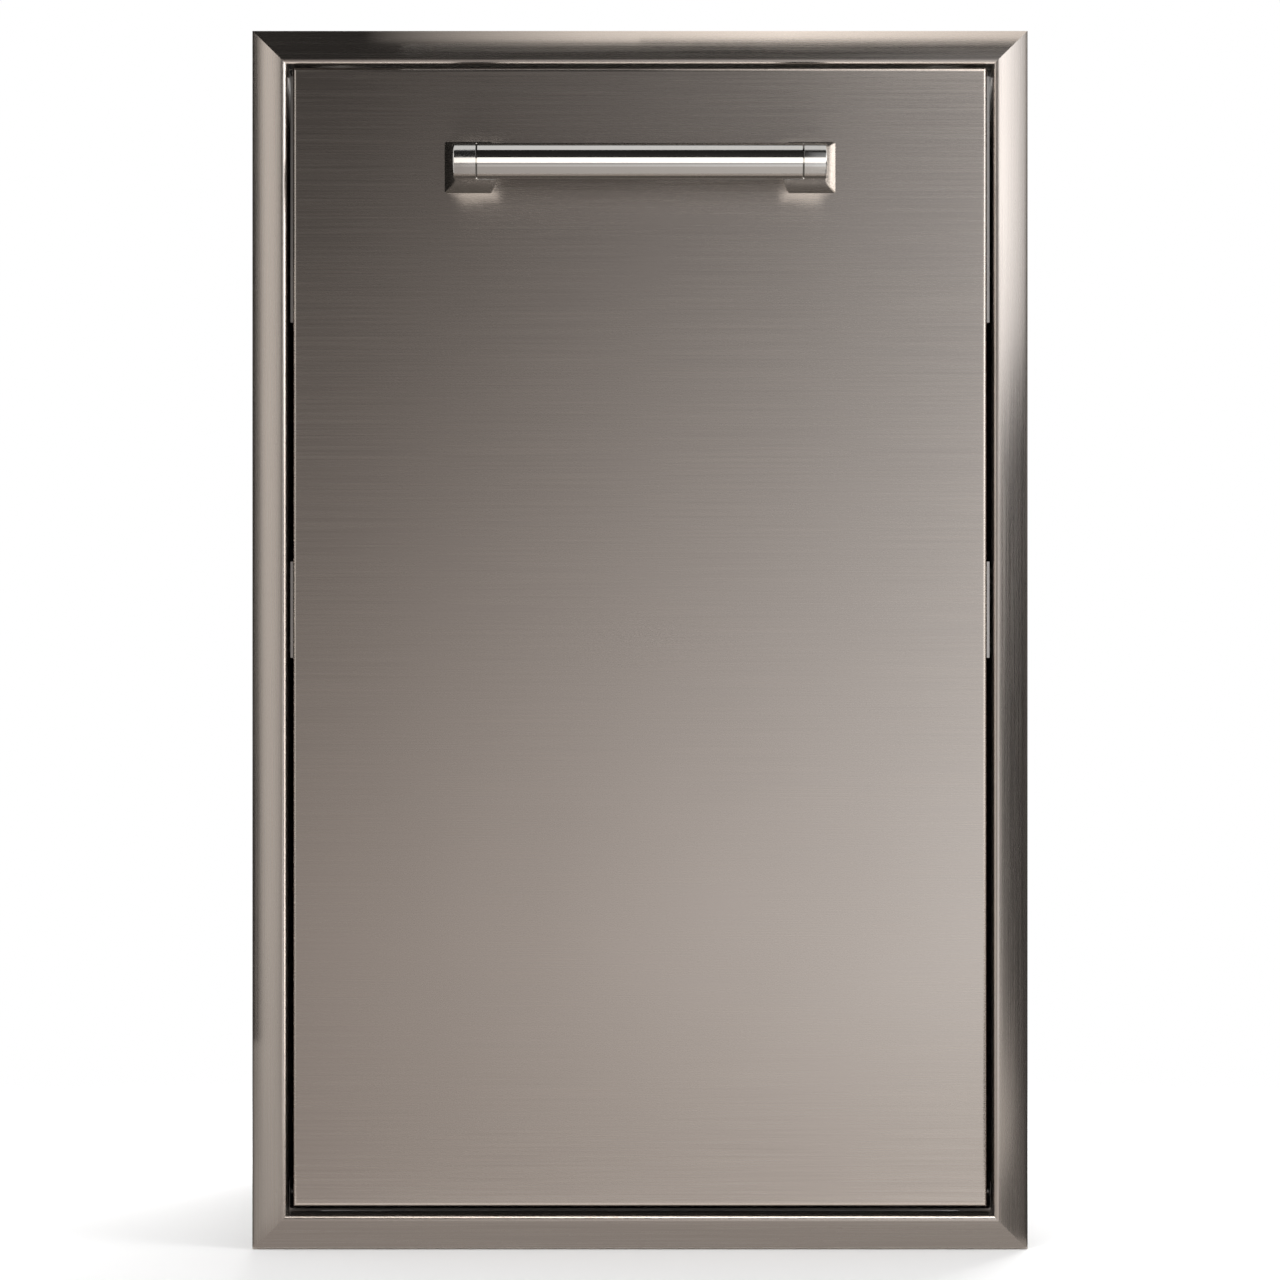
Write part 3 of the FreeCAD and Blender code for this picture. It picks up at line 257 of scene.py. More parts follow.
def reflection_card(name, corners, glow, tints=(SOFT, SOFT), pieces=(), deep=False):
    """A card that only glossy reflections see and, where pieces are named, only they."""
    card = plane_object(name, corners, card_finish(name, glow, tints, bool(pieces), deep))
    uv = card.data.uv_layers.new(name="card")
    for corner, place in zip(uv.data, ((0, 0), (1, 0), (1, 1), (0, 1))):
        corner.uv = place
    for kind in ("camera", "diffuse", "shadow", "transmission", "volume_scatter"):
        setattr(card, "visible_" + kind, False)
    if pieces:
        receivers = bpy.data.collections.new(name)
        for piece in pieces:
            receivers.objects.link(bpy.data.objects[piece + "_dressed"])
        card.light_linking.receiver_collection = receivers


print("tints from warm to cool", WARM, SOFT, COOL)


# %% [markdown]
# A card stands across the front, stands along a side or lies level, so three helpers turn two spans and
# one place into its corners. Three more write its glow: even, changing from its first end to its second,
# or changing from its foot to its head.

# %% Three ways to set a card


def upright_card(name, across, height, depth, glow, **kind):
    (left, right), (low, high) = across, height
    corners = [(left, depth, low), (right, depth, low), (right, depth, high), (left, depth, high)]
    reflection_card(name, corners, glow, **kind)


def side_card(name, across, depth, height, glow, **kind):
    (near, far), (low, high) = depth, height
    corners = [(across, near, low), (across, far, low), (across, far, high), (across, near, high)]
    reflection_card(name, corners, glow, **kind)


def level_card(name, across, depth, height, glow, **kind):
    (left, right), (near, far) = across, depth
    corners = [(left, near, height), (right, near, height), (right, far, height), (left, far, height)]
    reflection_card(name, corners, glow, **kind)


def even(level):
    return (level, level, level, level)


def sideways(first, second):
    return (first, second, first, second)


def upwards(foot, head):
    return (foot, foot, head, head)


print("card helpers ready")


# %% [markdown]
# The door mirrors what stands in front of it. Its slow fade, from a dark and warm left to a bright and
# cool right, is one card with four different corners. Flags around it darken what the upper door and the
# left stile see.

# %% Cards in front of the door
FRONT = -0.75
CEILING = 1.15
LEFT_END, RIGHT_END = -0.34, 0.34
FRONT_FOOT, FRONT_HEAD = -0.55, 0.45
UPPER_SPLIT = 0.16
ABOVE_DOOR = (FRONT_HEAD, CEILING)
upright_card(
    "door_card", across=(LEFT_END, RIGHT_END), height=(FRONT_FOOT, FRONT_HEAD), depth=FRONT,
    glow=(0.52, 1.17, 0.01, 0.44), tints=(WARM, COOL),
)
upright_card(
    "left_flag", across=(-0.75, LEFT_END), height=(FRONT_FOOT, CEILING), depth=FRONT,
    glow=(0.35, 0.35, 0.05, 0.02),
)
upright_card(
    "upper_flag", across=(LEFT_END, UPPER_SPLIT), height=ABOVE_DOOR, depth=FRONT,
    glow=(0.01, 0.04, 0.01, 0.02),
)
upright_card(
    "upper_card", across=(UPPER_SPLIT, 0.6), height=ABOVE_DOOR, depth=FRONT,
    glow=(0.24, 0.46, 0.16, 0.32), tints=(COOL, COOL),
)
level_card(
    "overhead_flag", across=(-1.2, 1.2), depth=(FRONT, -0.36), height=CEILING, glow=sideways(0.005, 0.03),
)
print("front cards ready")

# %% [markdown]
# The bottom rail slopes towards the floor, so it mirrors what lies there. The cards on the floor are
# brighter on the right, as the door is, and darker close to the frame, where its own shadow would fall.

# %% Cards on the floor
FLOOR_LEVEL = CAD_BOX[0].z + MM
FLAG_LEVEL = CAD_BOX[0].z + 2 * MM
FOOT_LINE = -0.05
FLOOR_DEPTH = (-1.6, FOOT_LINE)
FLOOR_SPLIT = 0.3
FLOOR_END = 1.5
level_card(
    "left_floor_card", across=(-FLOOR_END, -FLOOR_SPLIT), depth=FLOOR_DEPTH, height=FLOOR_LEVEL,
    glow=even(0.5),
)
level_card(
    "floor_card", across=(-FLOOR_SPLIT, FLOOR_SPLIT), depth=FLOOR_DEPTH, height=FLOOR_LEVEL,
    glow=(0.34, 0.72, 0.34, 0.66), tints=(WARM, SOFT),
)
level_card(
    "right_floor_card", across=(FLOOR_SPLIT, FLOOR_END), depth=FLOOR_DEPTH, height=FLOOR_LEVEL,
    glow=even(0.7),
)
level_card(
    "foot_card", across=(-0.5, 0.5), depth=(FOOT_LINE, 0.0), height=FLOOR_LEVEL,
    glow=sideways(0.34, 0.4), tints=(WARM, SOFT),
)
level_card(
    "right_floor_flag", across=(0.24, FLOOR_END), depth=(-0.35, 0.0), height=FLAG_LEVEL, glow=even(0.14),
)
print("floor cards ready")

# %% [markdown]
# The stiles slope to the left and the right. The left one mirrors a card that grows brighter upwards. The
# right one is dark, apart from a bright stretch near its head. Narrow flags close to the frame draw the
# dark lines along its outer edges.

# %% Cards at the sides
FAR_SIDE = 1.1
NEAR_SIDE = 0.25
SIDE_FOOT = -0.8
FRAME_FOOT, FRAME_HEAD = -0.34, 0.34
LEFT_FOOT_HEAD = -0.22
RIGHT_HEAD_FOOT = 0.2
LEFT_EDGE = (-0.022, 0.002)
RIGHT_EDGE = (-0.008, 0.002)
RIGHT_DEPTH = (-1.6, -0.05)
side_card(
    "left_card", across=-FAR_SIDE, depth=(-1.4, -0.27), height=(SIDE_FOOT, 0.9), glow=upwards(0.52, 0.98),
)
side_card(
    "left_edge_flag", across=-NEAR_SIDE, depth=LEFT_EDGE, height=(LEFT_FOOT_HEAD, FRAME_HEAD),
    glow=(0.06, 0.02, 0.04, 0.01),
)
side_card(
    "left_foot_flag", across=-NEAR_SIDE, depth=LEFT_EDGE, height=(FRAME_FOOT, LEFT_FOOT_HEAD),
    glow=(0.4, 0.35, 0.3, 0.25),
)
side_card(
    "right_edge_flag", across=NEAR_SIDE, depth=RIGHT_EDGE, height=(FRAME_FOOT, RIGHT_HEAD_FOOT),
    glow=(0.03, 0.02, 0.1, 0.08),
)
side_card(
    "right_head_flag", across=NEAR_SIDE, depth=RIGHT_EDGE, height=(RIGHT_HEAD_FOOT, FRAME_HEAD),
    glow=(0.12, 0.1, 0.35, 0.3),
)
side_card(
    "right_low_card", across=FAR_SIDE, depth=RIGHT_DEPTH, height=(SIDE_FOOT, RIGHT_HEAD_FOOT),
    glow=(0.12, 0.08, 0.06, 0.01),
)
side_card(
    "right_high_card", across=FAR_SIDE, depth=RIGHT_DEPTH, height=(RIGHT_HEAD_FOOT, 1.0),
    glow=sideways(2.6, 0.76), tints=(COOL, COOL),
)
print("side cards ready")

# %% [markdown]
# Plain surfaces, such as the bin and the floor, are lit by three soft lamps: a wide one above and in
# front, a weaker one from the right, and a strong one far behind for the back of the housing. They stay
# out of the reflections, which the cards already shape.

# %% Soft lamps


def soft_lamp(name, place, aim, size, power):
    light = bpy.data.lights.new(name, "AREA")
    light.shape = "SQUARE"
    light.size = size
    light.energy = power
    lamp = bpy.data.objects.new(name, light)
    lamp.location = place
    way = Vector(aim) - Vector(place)
    lamp.rotation_euler = way.to_track_quat("-Z", "Y").to_euler()
    lamp.visible_glossy = False
    scene.collection.objects.link(lamp)


soft_lamp("key_lamp", place=(-0.9, -1.6, 2.2), aim=(0, 0.1, 0), size=1.6, power=34.0)
soft_lamp("fill_lamp", place=(1.8, -1.2, 1.0), aim=(0, 0.1, 0), size=1.2, power=14.0)
soft_lamp("rear_lamp", place=(0.4, 2.4, 1.6), aim=(0, 0.3, 0), size=1.6, power=100.0)
print("lamps ready")

# %% [markdown]
# ## Finishes
# Every finish starts from the Principled shader and varies its inputs with noise that is fixed to the
# piece. Noise keeps near its middle value, so it is spread out before it drives a colour or a gloss.

# %% Helpers for finishes
NOISE_ROUGHNESS = 0.6
NOISE_LOW, NOISE_HIGH = 0.25, 0.75


def blank_finish(name, colour, metallic, roughness):
    finish = bpy.data.materials.new(name)
    finish.use_nodes = True
    tree = finish.node_tree
    shader = tree.nodes["Principled BSDF"]
    shader.inputs["Base Color"].default_value = (*colour, 1)
    shader.inputs["Metallic"].default_value = metallic
    shader.inputs["Roughness"].default_value = roughness
    return finish, tree, shader


def stretched_noise(tree, grains, detail=3.0):
    """Noise with its own number of grains per metre along each axis."""
    place = add_node(tree, "ShaderNodeTexCoord").outputs["Object"]
    stretch = add_node(tree, "ShaderNodeMapping", Vector=place, Scale=grains).outputs[0]
    noise = add_node(
        tree, "ShaderNodeTexNoise", Vector=stretch, Scale=1.0, Detail=detail, Roughness=NOISE_ROUGHNESS,
    )
    return noise.outputs["Fac"]


def spread_value(tree, noise, low, high):
    """Turns noise into a value between low and high."""
    spread = add_node(tree, "ShaderNodeMapRange", n0=noise, n1=NOISE_LOW, n2=NOISE_HIGH, n3=low, n4=high)
    return spread.outputs[0]


def tinted(tree, noise, colour, depth):
    """A colour that varies around its own value by the given depth."""
    low = tuple(channel * (1 - depth) for channel in colour)
    high = tuple(min(1.0, channel * (1 + depth)) for channel in colour)
    share = spread_value(tree, noise, 0, 1)
    mix = add_node(tree, "ShaderNodeMix", {"data_type": "RGBA"}, n0=share, n6=(*low, 1), n7=(*high, 1))
    return mix.outputs[2]


def bumped(tree, noise, strength, depth):
    return add_node(tree, "ShaderNodeBump", Height=noise, Strength=strength, Distance=depth).outputs[0]


def drive(tree, shader, **sockets):
    """Links sockets to a shader's inputs by name."""
    for label, socket in sockets.items():
        tree.links.new(socket, shader.inputs[label.replace("_", " ")])


print("finish helpers ready")

# %% [markdown]
# Brushed steel is drawn under an abrasive belt, which leaves fine parallel scratches. They spread a
# highlight across the grain and hardly along it. The shader's anisotropy does that, with its tangent set
# across the grain, and a noise stretched along the grain gives the streaks that the eye can still see.

# %% Brushed finishes
GRAIN_LONG = 9.0
GRAIN_FINE = 1500.0
CLOUDS = (7, 7, 7)
CLOUD_DETAIL = 2.0
BRUSHED_COLOUR = (0.605, 0.546, 0.497)
BRUSHED_ROUGHNESS = 0.26
BRUSHED_ANISOTROPY = 0.75
STREAK_TINT = 0.07
STREAK_WEAR = 0.05
CLOUD_WEAR = 0.02
SCRATCH_STRENGTH = 0.12
SCRATCH_DEPTH = 0.05 * MM


def brushed_finish(name, grain, across):
    """Steel brushed along one direction; across is the direction in which its highlights spread."""
    finish, tree, shader = blank_finish(name, BRUSHED_COLOUR, 1.0, BRUSHED_ROUGHNESS)
    streaks = stretched_noise(tree, grain)
    clouds = stretched_noise(tree, CLOUDS, CLOUD_DETAIL)
    streak_wear = spread_value(tree, streaks, -STREAK_WEAR, STREAK_WEAR)
    cloud_wear = spread_value(tree, clouds, -CLOUD_WEAR, CLOUD_WEAR)
    wear = math_node(tree, "ADD", streak_wear, cloud_wear)
    drive(
        tree, shader,
        Base_Color=tinted(tree, streaks, BRUSHED_COLOUR, STREAK_TINT),
        Roughness=math_node(tree, "ADD", wear, BRUSHED_ROUGHNESS),
        Normal=bumped(tree, streaks, SCRATCH_STRENGTH, SCRATCH_DEPTH),
        Tangent=add_node(tree, "ShaderNodeCombineXYZ", n0=across[0], n1=across[1], n2=across[2]).outputs[0],
    )
    shader.inputs["Anisotropic"].default_value = BRUSHED_ANISOTROPY
    return finish


brushed_level = brushed_finish("brushed_level", (GRAIN_LONG, GRAIN_FINE, GRAIN_FINE), across=(0, 0, 1))
brushed_upright = brushed_finish("brushed_upright", (GRAIN_FINE, GRAIN_FINE, GRAIN_LONG), across=(1, 0, 0))
print("brushed finishes ready")

# %% [markdown]
# The housing and the carriage are plain mill sheet: a dull, even grey whose colour keeps a faint rolling
# direction, and whose gloss has soft blotches from the mill. Zinc plating, polished bar, bright balls and
# fasteners are close cousins that differ in colour, gloss and the size of their blotches.

# %% Plain metal finishes
GLOSS_SWING = 0.1
RELIEF_DEPTH = 0.03 * MM
MILL_GREY = (0.56, 0.54, 0.52)


def sheet_metal_finish(name, colour, roughness, grain, blotch, tint, relief=0.0):
    """Grain and blotch are counted per metre; relief is how strongly the grain stands out."""
    finish, tree, shader = blank_finish(name, colour, 1.0, roughness)
    rolling = stretched_noise(tree, grain)
    blotches = stretched_noise(tree, (blotch, blotch, blotch))
    both = math_node(tree, "MULTIPLY", math_node(tree, "ADD", rolling, blotches), 0.5)
    swing = roughness * GLOSS_SWING
    gloss = spread_value(tree, blotches, roughness - swing, roughness + swing)
    drive(tree, shader, Base_Color=tinted(tree, both, colour, tint), Roughness=gloss)
    if relief:
        drive(tree, shader, Normal=bumped(tree, rolling, relief, RELIEF_DEPTH))
    return finish


mill_sheet = sheet_metal_finish(
    "mill_sheet", MILL_GREY, roughness=0.34, grain=(220, 3, 220), blotch=24.0, tint=0.05,
)
mill_sheet_across = sheet_metal_finish(
    "mill_sheet_across", MILL_GREY, roughness=0.34, grain=(3, 220, 220), blotch=24.0, tint=0.05,
)
zinc_plate = sheet_metal_finish(
    "zinc_plate", (0.55, 0.56, 0.57), roughness=0.3, grain=(180, 8, 180), blotch=40.0, tint=0.08,
)
polished_bar = sheet_metal_finish(
    "polished_bar", (0.72, 0.7, 0.67), roughness=0.08, grain=(20, 2500, 2500), blotch=25.0, tint=0.02,
)
satin_casting = sheet_metal_finish(
    "satin_casting", (0.7, 0.68, 0.65), roughness=0.17, grain=(300, 300, 300), blotch=40.0, tint=0.03,
)
fastener_steel = sheet_metal_finish(
    "fastener_steel", (0.52, 0.51, 0.5), roughness=0.3, grain=(900, 900, 900), blotch=400.0, tint=0.06,
    relief=0.08,
)
ball_steel = sheet_metal_finish(
    "ball_steel", (0.62, 0.62, 0.63), roughness=0.07, grain=(400, 400, 400), blotch=300.0, tint=0.03,
)
print("plain metals ready")

# %% [markdown]
# Moulded plastic and rubber have a fine pebbled skin from the tool they were moulded in, and slightly
# paler scuffs. A small noise drives the bump, and a larger one the scuffs.

# %% Moulded finishes
PEBBLE_DETAIL = 2.0
PEBBLE_DEPTH = 0.1 * MM
SCUFFS = (35, 35, 12)
SCUFF_DETAIL = 4.0
SCUFF_TINT = 0.12
SCUFF_WEAR = 0.06


def moulded_finish(name, colour, roughness, pebble, strength):
    """Pebble is counted per metre, and strength is how strongly the pebbles stand out."""
    finish, tree, shader = blank_finish(name, colour, 0.0, roughness)
    skin = stretched_noise(tree, (pebble, pebble, pebble), PEBBLE_DETAIL)
    scuffs = stretched_noise(tree, SCUFFS, SCUFF_DETAIL)
    drive(
        tree, shader,
        Base_Color=tinted(tree, scuffs, colour, SCUFF_TINT),
        Roughness=spread_value(tree, scuffs, roughness - SCUFF_WEAR, roughness + SCUFF_WEAR),
        Normal=bumped(tree, skin, strength, PEBBLE_DEPTH),
    )
    return finish


bin_plastic = moulded_finish(
    "bin_plastic", (0.1, 0.102, 0.107), roughness=0.48, pebble=1400.0, strength=0.35,
)
lever_plastic = moulded_finish(
    "lever_plastic", (0.035, 0.035, 0.037), roughness=0.45, pebble=1800.0, strength=0.25,
)
bumper_rubber = moulded_finish(
    "bumper_rubber", (0.03, 0.03, 0.03), roughness=0.65, pebble=1200.0, strength=0.3,
)
print("moulded finishes ready")

# %% [markdown]
# ## Pieces
# Each piece made below takes the place of a solid with the same name and rides on that solid's body.
# One helper does both for every piece. On folded sheets and softened pieces it also asks for weighted
# normals, which keep a wide face flat in the shading right up to a bend.

# %% A helper that puts a piece in its node's place
BODIES = frame["record"]["behaviour"]["bodies"]
BODY_OF = {node: body for body, members in BODIES.items() for node in members}
SHARP_EDGE = math.radians(32)


def take_place(node, mesh, finish, flat=False):
    """Shows a mesh instead of the solid; flat is for pieces with wide flat faces."""
    mesh.polygons.foreach_set("use_smooth", [True] * len(mesh.polygons))
    mesh.set_sharp_from_angle(angle=SHARP_EDGE)
    mesh.materials.clear()
    mesh.materials.append(finish)
    piece = bpy.data.objects.new(node + "_dressed", mesh)
    scene.collection.objects.link(piece)
    if flat:
        piece.modifiers.new("flat_faces", "WEIGHTED_NORMAL").keep_sharp = True
    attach(piece, BODY_OF[node])
    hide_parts(node)
    print(piece.name, len(mesh.polygons), "faces")


print("nodes with a body", len(BODY_OF))


# %% [markdown]
# ### Frame rails
# The frame is one folded section, cut to four lengths and mitred. That is a rule, so Geometry Nodes make
# it: the section is drawn once as a curve, pulled to a length, closed at its ends, and each end is slid
# by its own distance from the outer edge, which is exactly a 45 degree mitre. The section's front is a
# shallow arc, the crown, which runs tangent into a small nose outside and a small crest inside.

# %% The rail's section
BEZEL_WIDTH = 19 * MM
BEZEL_DEPTH = 12 * MM
FRAME_SHEET = 1.2 * MM
NOSE_RADIUS = 2.2 * MM
CREST_RADIUS = 2.6 * MM
CROWN_RADIUS = 38 * MM
HEM_WIDTH = 9 * MM
JAMB_DEPTH = 16 * MM
ARC_STEPS = 12


def arc_points(centre, radius, start, end, steps=ARC_STEPS):
    """Points on an arc between two angles, in the section's plane."""
    turns = [start + (end - start) * i / steps for i in range(steps + 1)]
    return [centre + Vector((math.cos(turn), math.sin(turn))) * radius for turn in turns]


def crossing(centre_a, radius_a, centre_b, radius_b):
    """Where two circles cross, on the wall side."""
    across = centre_b - centre_a
    gap = across.length
    along = (radius_a ** 2 - radius_b ** 2 + gap ** 2) / (2 * gap)
    height = math.sqrt(radius_a ** 2 - along ** 2)
    way = across / gap
    return centre_a + way * along + Vector((-way.y, way.x)) * height


def rail_section():
    """The rail's outline: distance from the outer edge, then depth, negative towards the viewer."""
    nose = Vector((NOSE_RADIUS, -NOSE_RADIUS))
    crest = Vector((BEZEL_WIDTH - CREST_RADIUS, -(BEZEL_DEPTH - CREST_RADIUS)))
    crown = crossing(nose, CROWN_RADIUS - NOSE_RADIUS, crest, CROWN_RADIUS - CREST_RADIUS)
    to_nose = math.atan2(*(nose - crown).yx)
    to_crest = math.atan2(*(crest - crown).yx)
    outline = []
    for depth, order in ((0.0, 1), (FRAME_SHEET, -1)):
        layer = [Vector((HEM_WIDTH, -depth))]
        layer += arc_points(nose, NOSE_RADIUS - depth, -1.5 * math.pi, to_nose)
        layer += arc_points(crown, CROWN_RADIUS - depth, to_nose, to_crest)[1:]
        layer += arc_points(crest, CREST_RADIUS - depth, to_crest, 0.0)[1:]
        layer.append(Vector((BEZEL_WIDTH - depth, JAMB_DEPTH)))
        outline += layer[::order]
    return outline


def section_curve(name, outline):
    curve = bpy.data.curves.new(name, "CURVE")
    spline = curve.splines.new("POLY")
    spline.points.add(len(outline) - 1)
    for point, place in zip(spline.points, outline):
        point.co = (place.x, place.y, 0, 1)
    spline.use_cyclic_u = True
    section = bpy.data.objects.new(name, curve)
    scene.collection.objects.link(section)
    return section


section_object = section_curve("rail_section", rail_section())
print("section points", len(section_object.data.splines[0].points))

# %% [markdown]
# The tree takes the section, a length and a finish as named inputs. It pulls the section along the
# length, fills it once for each end and merges the seams. Then every point slides along the rail:
# forwards at the near end and backwards at the far end, by its distance from the outer edge. Helpers
# start a tree, end it with real geometry and a finish, and run it on a base mesh.

# %% The mitred rail as a node tree
SAME_PLACE = 0.01 * MM


def new_geometry_tree(name, inputs):
    """A geometry tree with the given named inputs, and its input and output nodes."""
    tree = bpy.data.node_groups.new(name, "GeometryNodeTree")
    tree.interface.new_socket("Geometry", in_out="INPUT", socket_type="NodeSocketGeometry")
    for label, kind in {**inputs, "Finish": "NodeSocketMaterial"}.items():
        tree.interface.new_socket(label, in_out="INPUT", socket_type=kind)
    tree.interface.new_socket("Geometry", in_out="OUTPUT", socket_type="NodeSocketGeometry")
    return tree, tree.nodes.new("NodeGroupInput").outputs, tree.nodes.new("NodeGroupOutput")


def close_tree(tree, geometry, given, result):
    """Ends a tree with real geometry and its finish."""
    real = add_node(tree, "GeometryNodeRealizeInstances", Geometry=geometry).outputs[0]
    dressed = add_node(tree, "GeometryNodeSetMaterial", Geometry=real, Material=given["Finish"])
    tree.links.new(dressed.outputs[0], result.inputs[0])


def mitred_rail_tree():
    sizes = {"Section": "NodeSocketObject", "Length": "NodeSocketFloat"}
    tree, given, result = new_geometry_tree("mitred_rail", sizes)
    length = given["Length"]
    section = add_node(tree, "GeometryNodeObjectInfo", Object=given["Section"]).outputs["Geometry"]
    pull = add_node(tree, "ShaderNodeCombineXYZ", Z=length).outputs[0]
    ring = add_node(tree, "GeometryNodeCurveToMesh", Curve=section).outputs[0]
    edges = {"mode": "EDGES"}
    pulled = add_node(tree, "GeometryNodeExtrudeMesh", edges, Mesh=ring, Offset=pull, Offset_Scale=1.0)
    walls = add_node(tree, "GeometryNodeFlipFaces", Mesh=pulled.outputs[0]).outputs[0]
    cap = add_node(tree, "GeometryNodeFillCurve", {"mode": "NGONS"}, Curve=section).outputs[0]
    far_cap = add_node(tree, "GeometryNodeTransform", Geometry=cap, Translation=pull).outputs[0]
    near_cap = add_node(tree, "GeometryNodeFlipFaces", Mesh=cap).outputs[0]
    bar = add_node(tree, "GeometryNodeJoinGeometry")
    for part in (far_cap, near_cap, walls):
        tree.links.new(part, bar.inputs[0])
    closed = add_node(tree, "GeometryNodeMergeByDistance", Geometry=bar.outputs[0], Distance=SAME_PLACE)
    place = add_node(tree, "GeometryNodeInputPosition").outputs[0]
    parts = add_node(tree, "ShaderNodeSeparateXYZ", n0=place).outputs
    share = math_node(tree, "DIVIDE", parts["Z"], length)
    sign = math_node(tree, "SUBTRACT", 1.0, math_node(tree, "MULTIPLY", share, 2.0))
    slide = math_node(tree, "MULTIPLY", sign, parts["X"])
    step = add_node(tree, "ShaderNodeCombineXYZ", Z=slide).outputs[0]
    mitred = add_node(tree, "GeometryNodeSetPosition", Geometry=closed.outputs[0], Offset=step)
    close_tree(tree, mitred.outputs[0], given, result)
    return tree


def grown_mesh(tree, base, values, name):
    """Runs a geometry tree on a base mesh and returns the result as a plain mesh."""
    carrier = bpy.data.objects.new(name, base)
    scene.collection.objects.link(carrier)
    modifier = carrier.modifiers.new(name, "NODES")
    modifier.node_group = tree
    for item in tree.interface.items_tree:
        if item.in_out == "INPUT" and item.name in values:
            modifier[item.identifier] = values[item.name]
    graph = bpy.context.evaluated_depsgraph_get()
    mesh = bpy.data.meshes.new_from_object(carrier.evaluated_get(graph), depsgraph=graph)
    carrier.modifiers.remove(modifier)
    bpy.data.objects.remove(carrier)
    mesh.name = name
    return mesh


rail_tree = mitred_rail_tree()
print("rail tree nodes", len(rail_tree.nodes))

# %% [markdown]
# The four rails are the same tree with different lengths, which come from the boxes of their solids. Each
# one is turned so that its section looks from the outer edge towards the opening. The belt runs along a
# rail, so the stiles get the upright grain.

# %% The four rails
DEEP = Vector((0, 1, 0))


def frame_rail(node, inwards, finish):
    """One rail: inwards is the way from its outer edge to the opening."""
    along = inwards.cross(DEEP)
    low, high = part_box(node)
    span = high - low
    values = {"Section": section_object, "Length": abs(span.dot(along)), "Finish": finish}
    mesh = grown_mesh(rail_tree, bpy.data.meshes.new(node), values, node)
    turn = Matrix((inwards, DEEP, along)).transposed().to_4x4()
    outer = Vector([high[i] if inwards[i] + along[i] < 0 else low[i] for i in range(3)])
    outer.y = 0
    mesh.transform(Matrix.Translation(outer) @ turn)
    take_place(node, mesh, finish)


frame_rail("frame_bottom_rail", Vector((0, 0, 1)), brushed_level)
frame_rail("frame_top_rail", Vector((0, 0, -1)), brushed_level)
frame_rail("frame_left_stile", Vector((1, 0, 0)), brushed_upright)
frame_rail("frame_right_stile", Vector((-1, 0, 0)), brushed_upright)
bpy.data.objects.remove(section_object)

# %% [markdown]
# ### Door and bin
# Both are shells whose outline keeps its kind while its size changes: a stack of outlines, each joined to
# the next by walls. That could be modelled by hand with extrusions and bevels. A stack is chosen because
# every size in it has a name, and it needs only these few helpers.

# %% Helpers for stacked outlines
BEND_STEPS = 8
CORNER_WAYS = ((1, 1), (-1, 1), (-1, -1), (1, -1))


def quarter_turns():
    return [math.pi / 2 * i / BEND_STEPS for i in range(BEND_STEPS + 1)]


def mesh_from(shape, name):
    """A finished mesh from an edit mesh, its faces turned outwards."""
    bmesh.ops.recalc_face_normals(shape, faces=shape.faces)
    mesh = bpy.data.meshes.new(name)
    shape.to_mesh(mesh)
    shape.free()
    return mesh


def join_loops(shape, loops):
    """Walls between each loop and the next."""
    for near, far in zip(loops, loops[1:]):
        for i in range(len(near)):
            j = (i + 1) % len(near)
            shape.faces.new((near[i], near[j], far[j], far[i]))


def stacked_mesh(shape, loops, name):
    """Walls between the loops, with the first and the last loop filled in."""
    join_loops(shape, loops)
    shape.faces.new(loops[0])
    shape.faces.new(loops[-1])
    return mesh_from(shape, name)


print("steps in a bend", BEND_STEPS)

# %% [markdown]
# The door is a tray: a face whose four sides are bent back and turned in behind. Every stage of that bend
# is a rectangle, larger or smaller and further back, so the mesh is a stack of rectangles.

# %% Door skin
DOOR_SHEET = 1.2 * MM
DOOR_BEND = 2.4 * MM
DOOR_RETURN = 14 * MM


def rectangle_loop(shape, low, high, inset, y):
    corners = [(low.x + inset, low.z + inset), (high.x - inset, low.z + inset)]
    corners += [(high.x - inset, high.z - inset), (low.x + inset, high.z - inset)]
    return [shape.verts.new((x, y, z)) for x, z in corners]


def door_skin():
    low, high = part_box("door_skin")
    stages = []
    for turn in quarter_turns():
        stages.append((DOOR_BEND * (1 - math.sin(turn)), low.y + DOOR_BEND * (1 - math.cos(turn))))
    stages.append((0.0, high.y))
    stages.append((DOOR_RETURN, high.y))
    stages.append((DOOR_RETURN, high.y - DOOR_SHEET))
    stages.append((DOOR_SHEET, high.y - DOOR_SHEET))
    stages.append((DOOR_SHEET, low.y + DOOR_SHEET))
    shape = bmesh.new()
    loops = [rectangle_loop(shape, low, high, inset, y) for inset, y in stages]
    take_place("door_skin", stacked_mesh(shape, loops, "door_skin"), brushed_level)


door_skin()

# %% [markdown]
# The tub is moulded in one piece with a draft, so that it slips off its tool, and a rim that is turned
# out and down. Its outline is a rectangle with round corners at every height. A list of heights and
# insets, with short arcs where edges are rounded, is lofted into one closed skin, outside and inside.

# %% Waste bin
BIN_WALL = 2.6 * MM
BIN_FLOOR = 3.0 * MM
BIN_DRAFT = 25 * MM
BIN_CORNER = 46 * MM
BIN_FLOOR_CORNER = 34 * MM
BIN_FLOOR_RADIUS = 12 * MM
RIM_WIDTH = 14 * MM
RIM_SHEET = 3.0 * MM
RIM_LIP = 12 * MM
RIM_ROUND = 1.1 * MM
CORNER_STEPS = 24
WALL_STEPS = 8


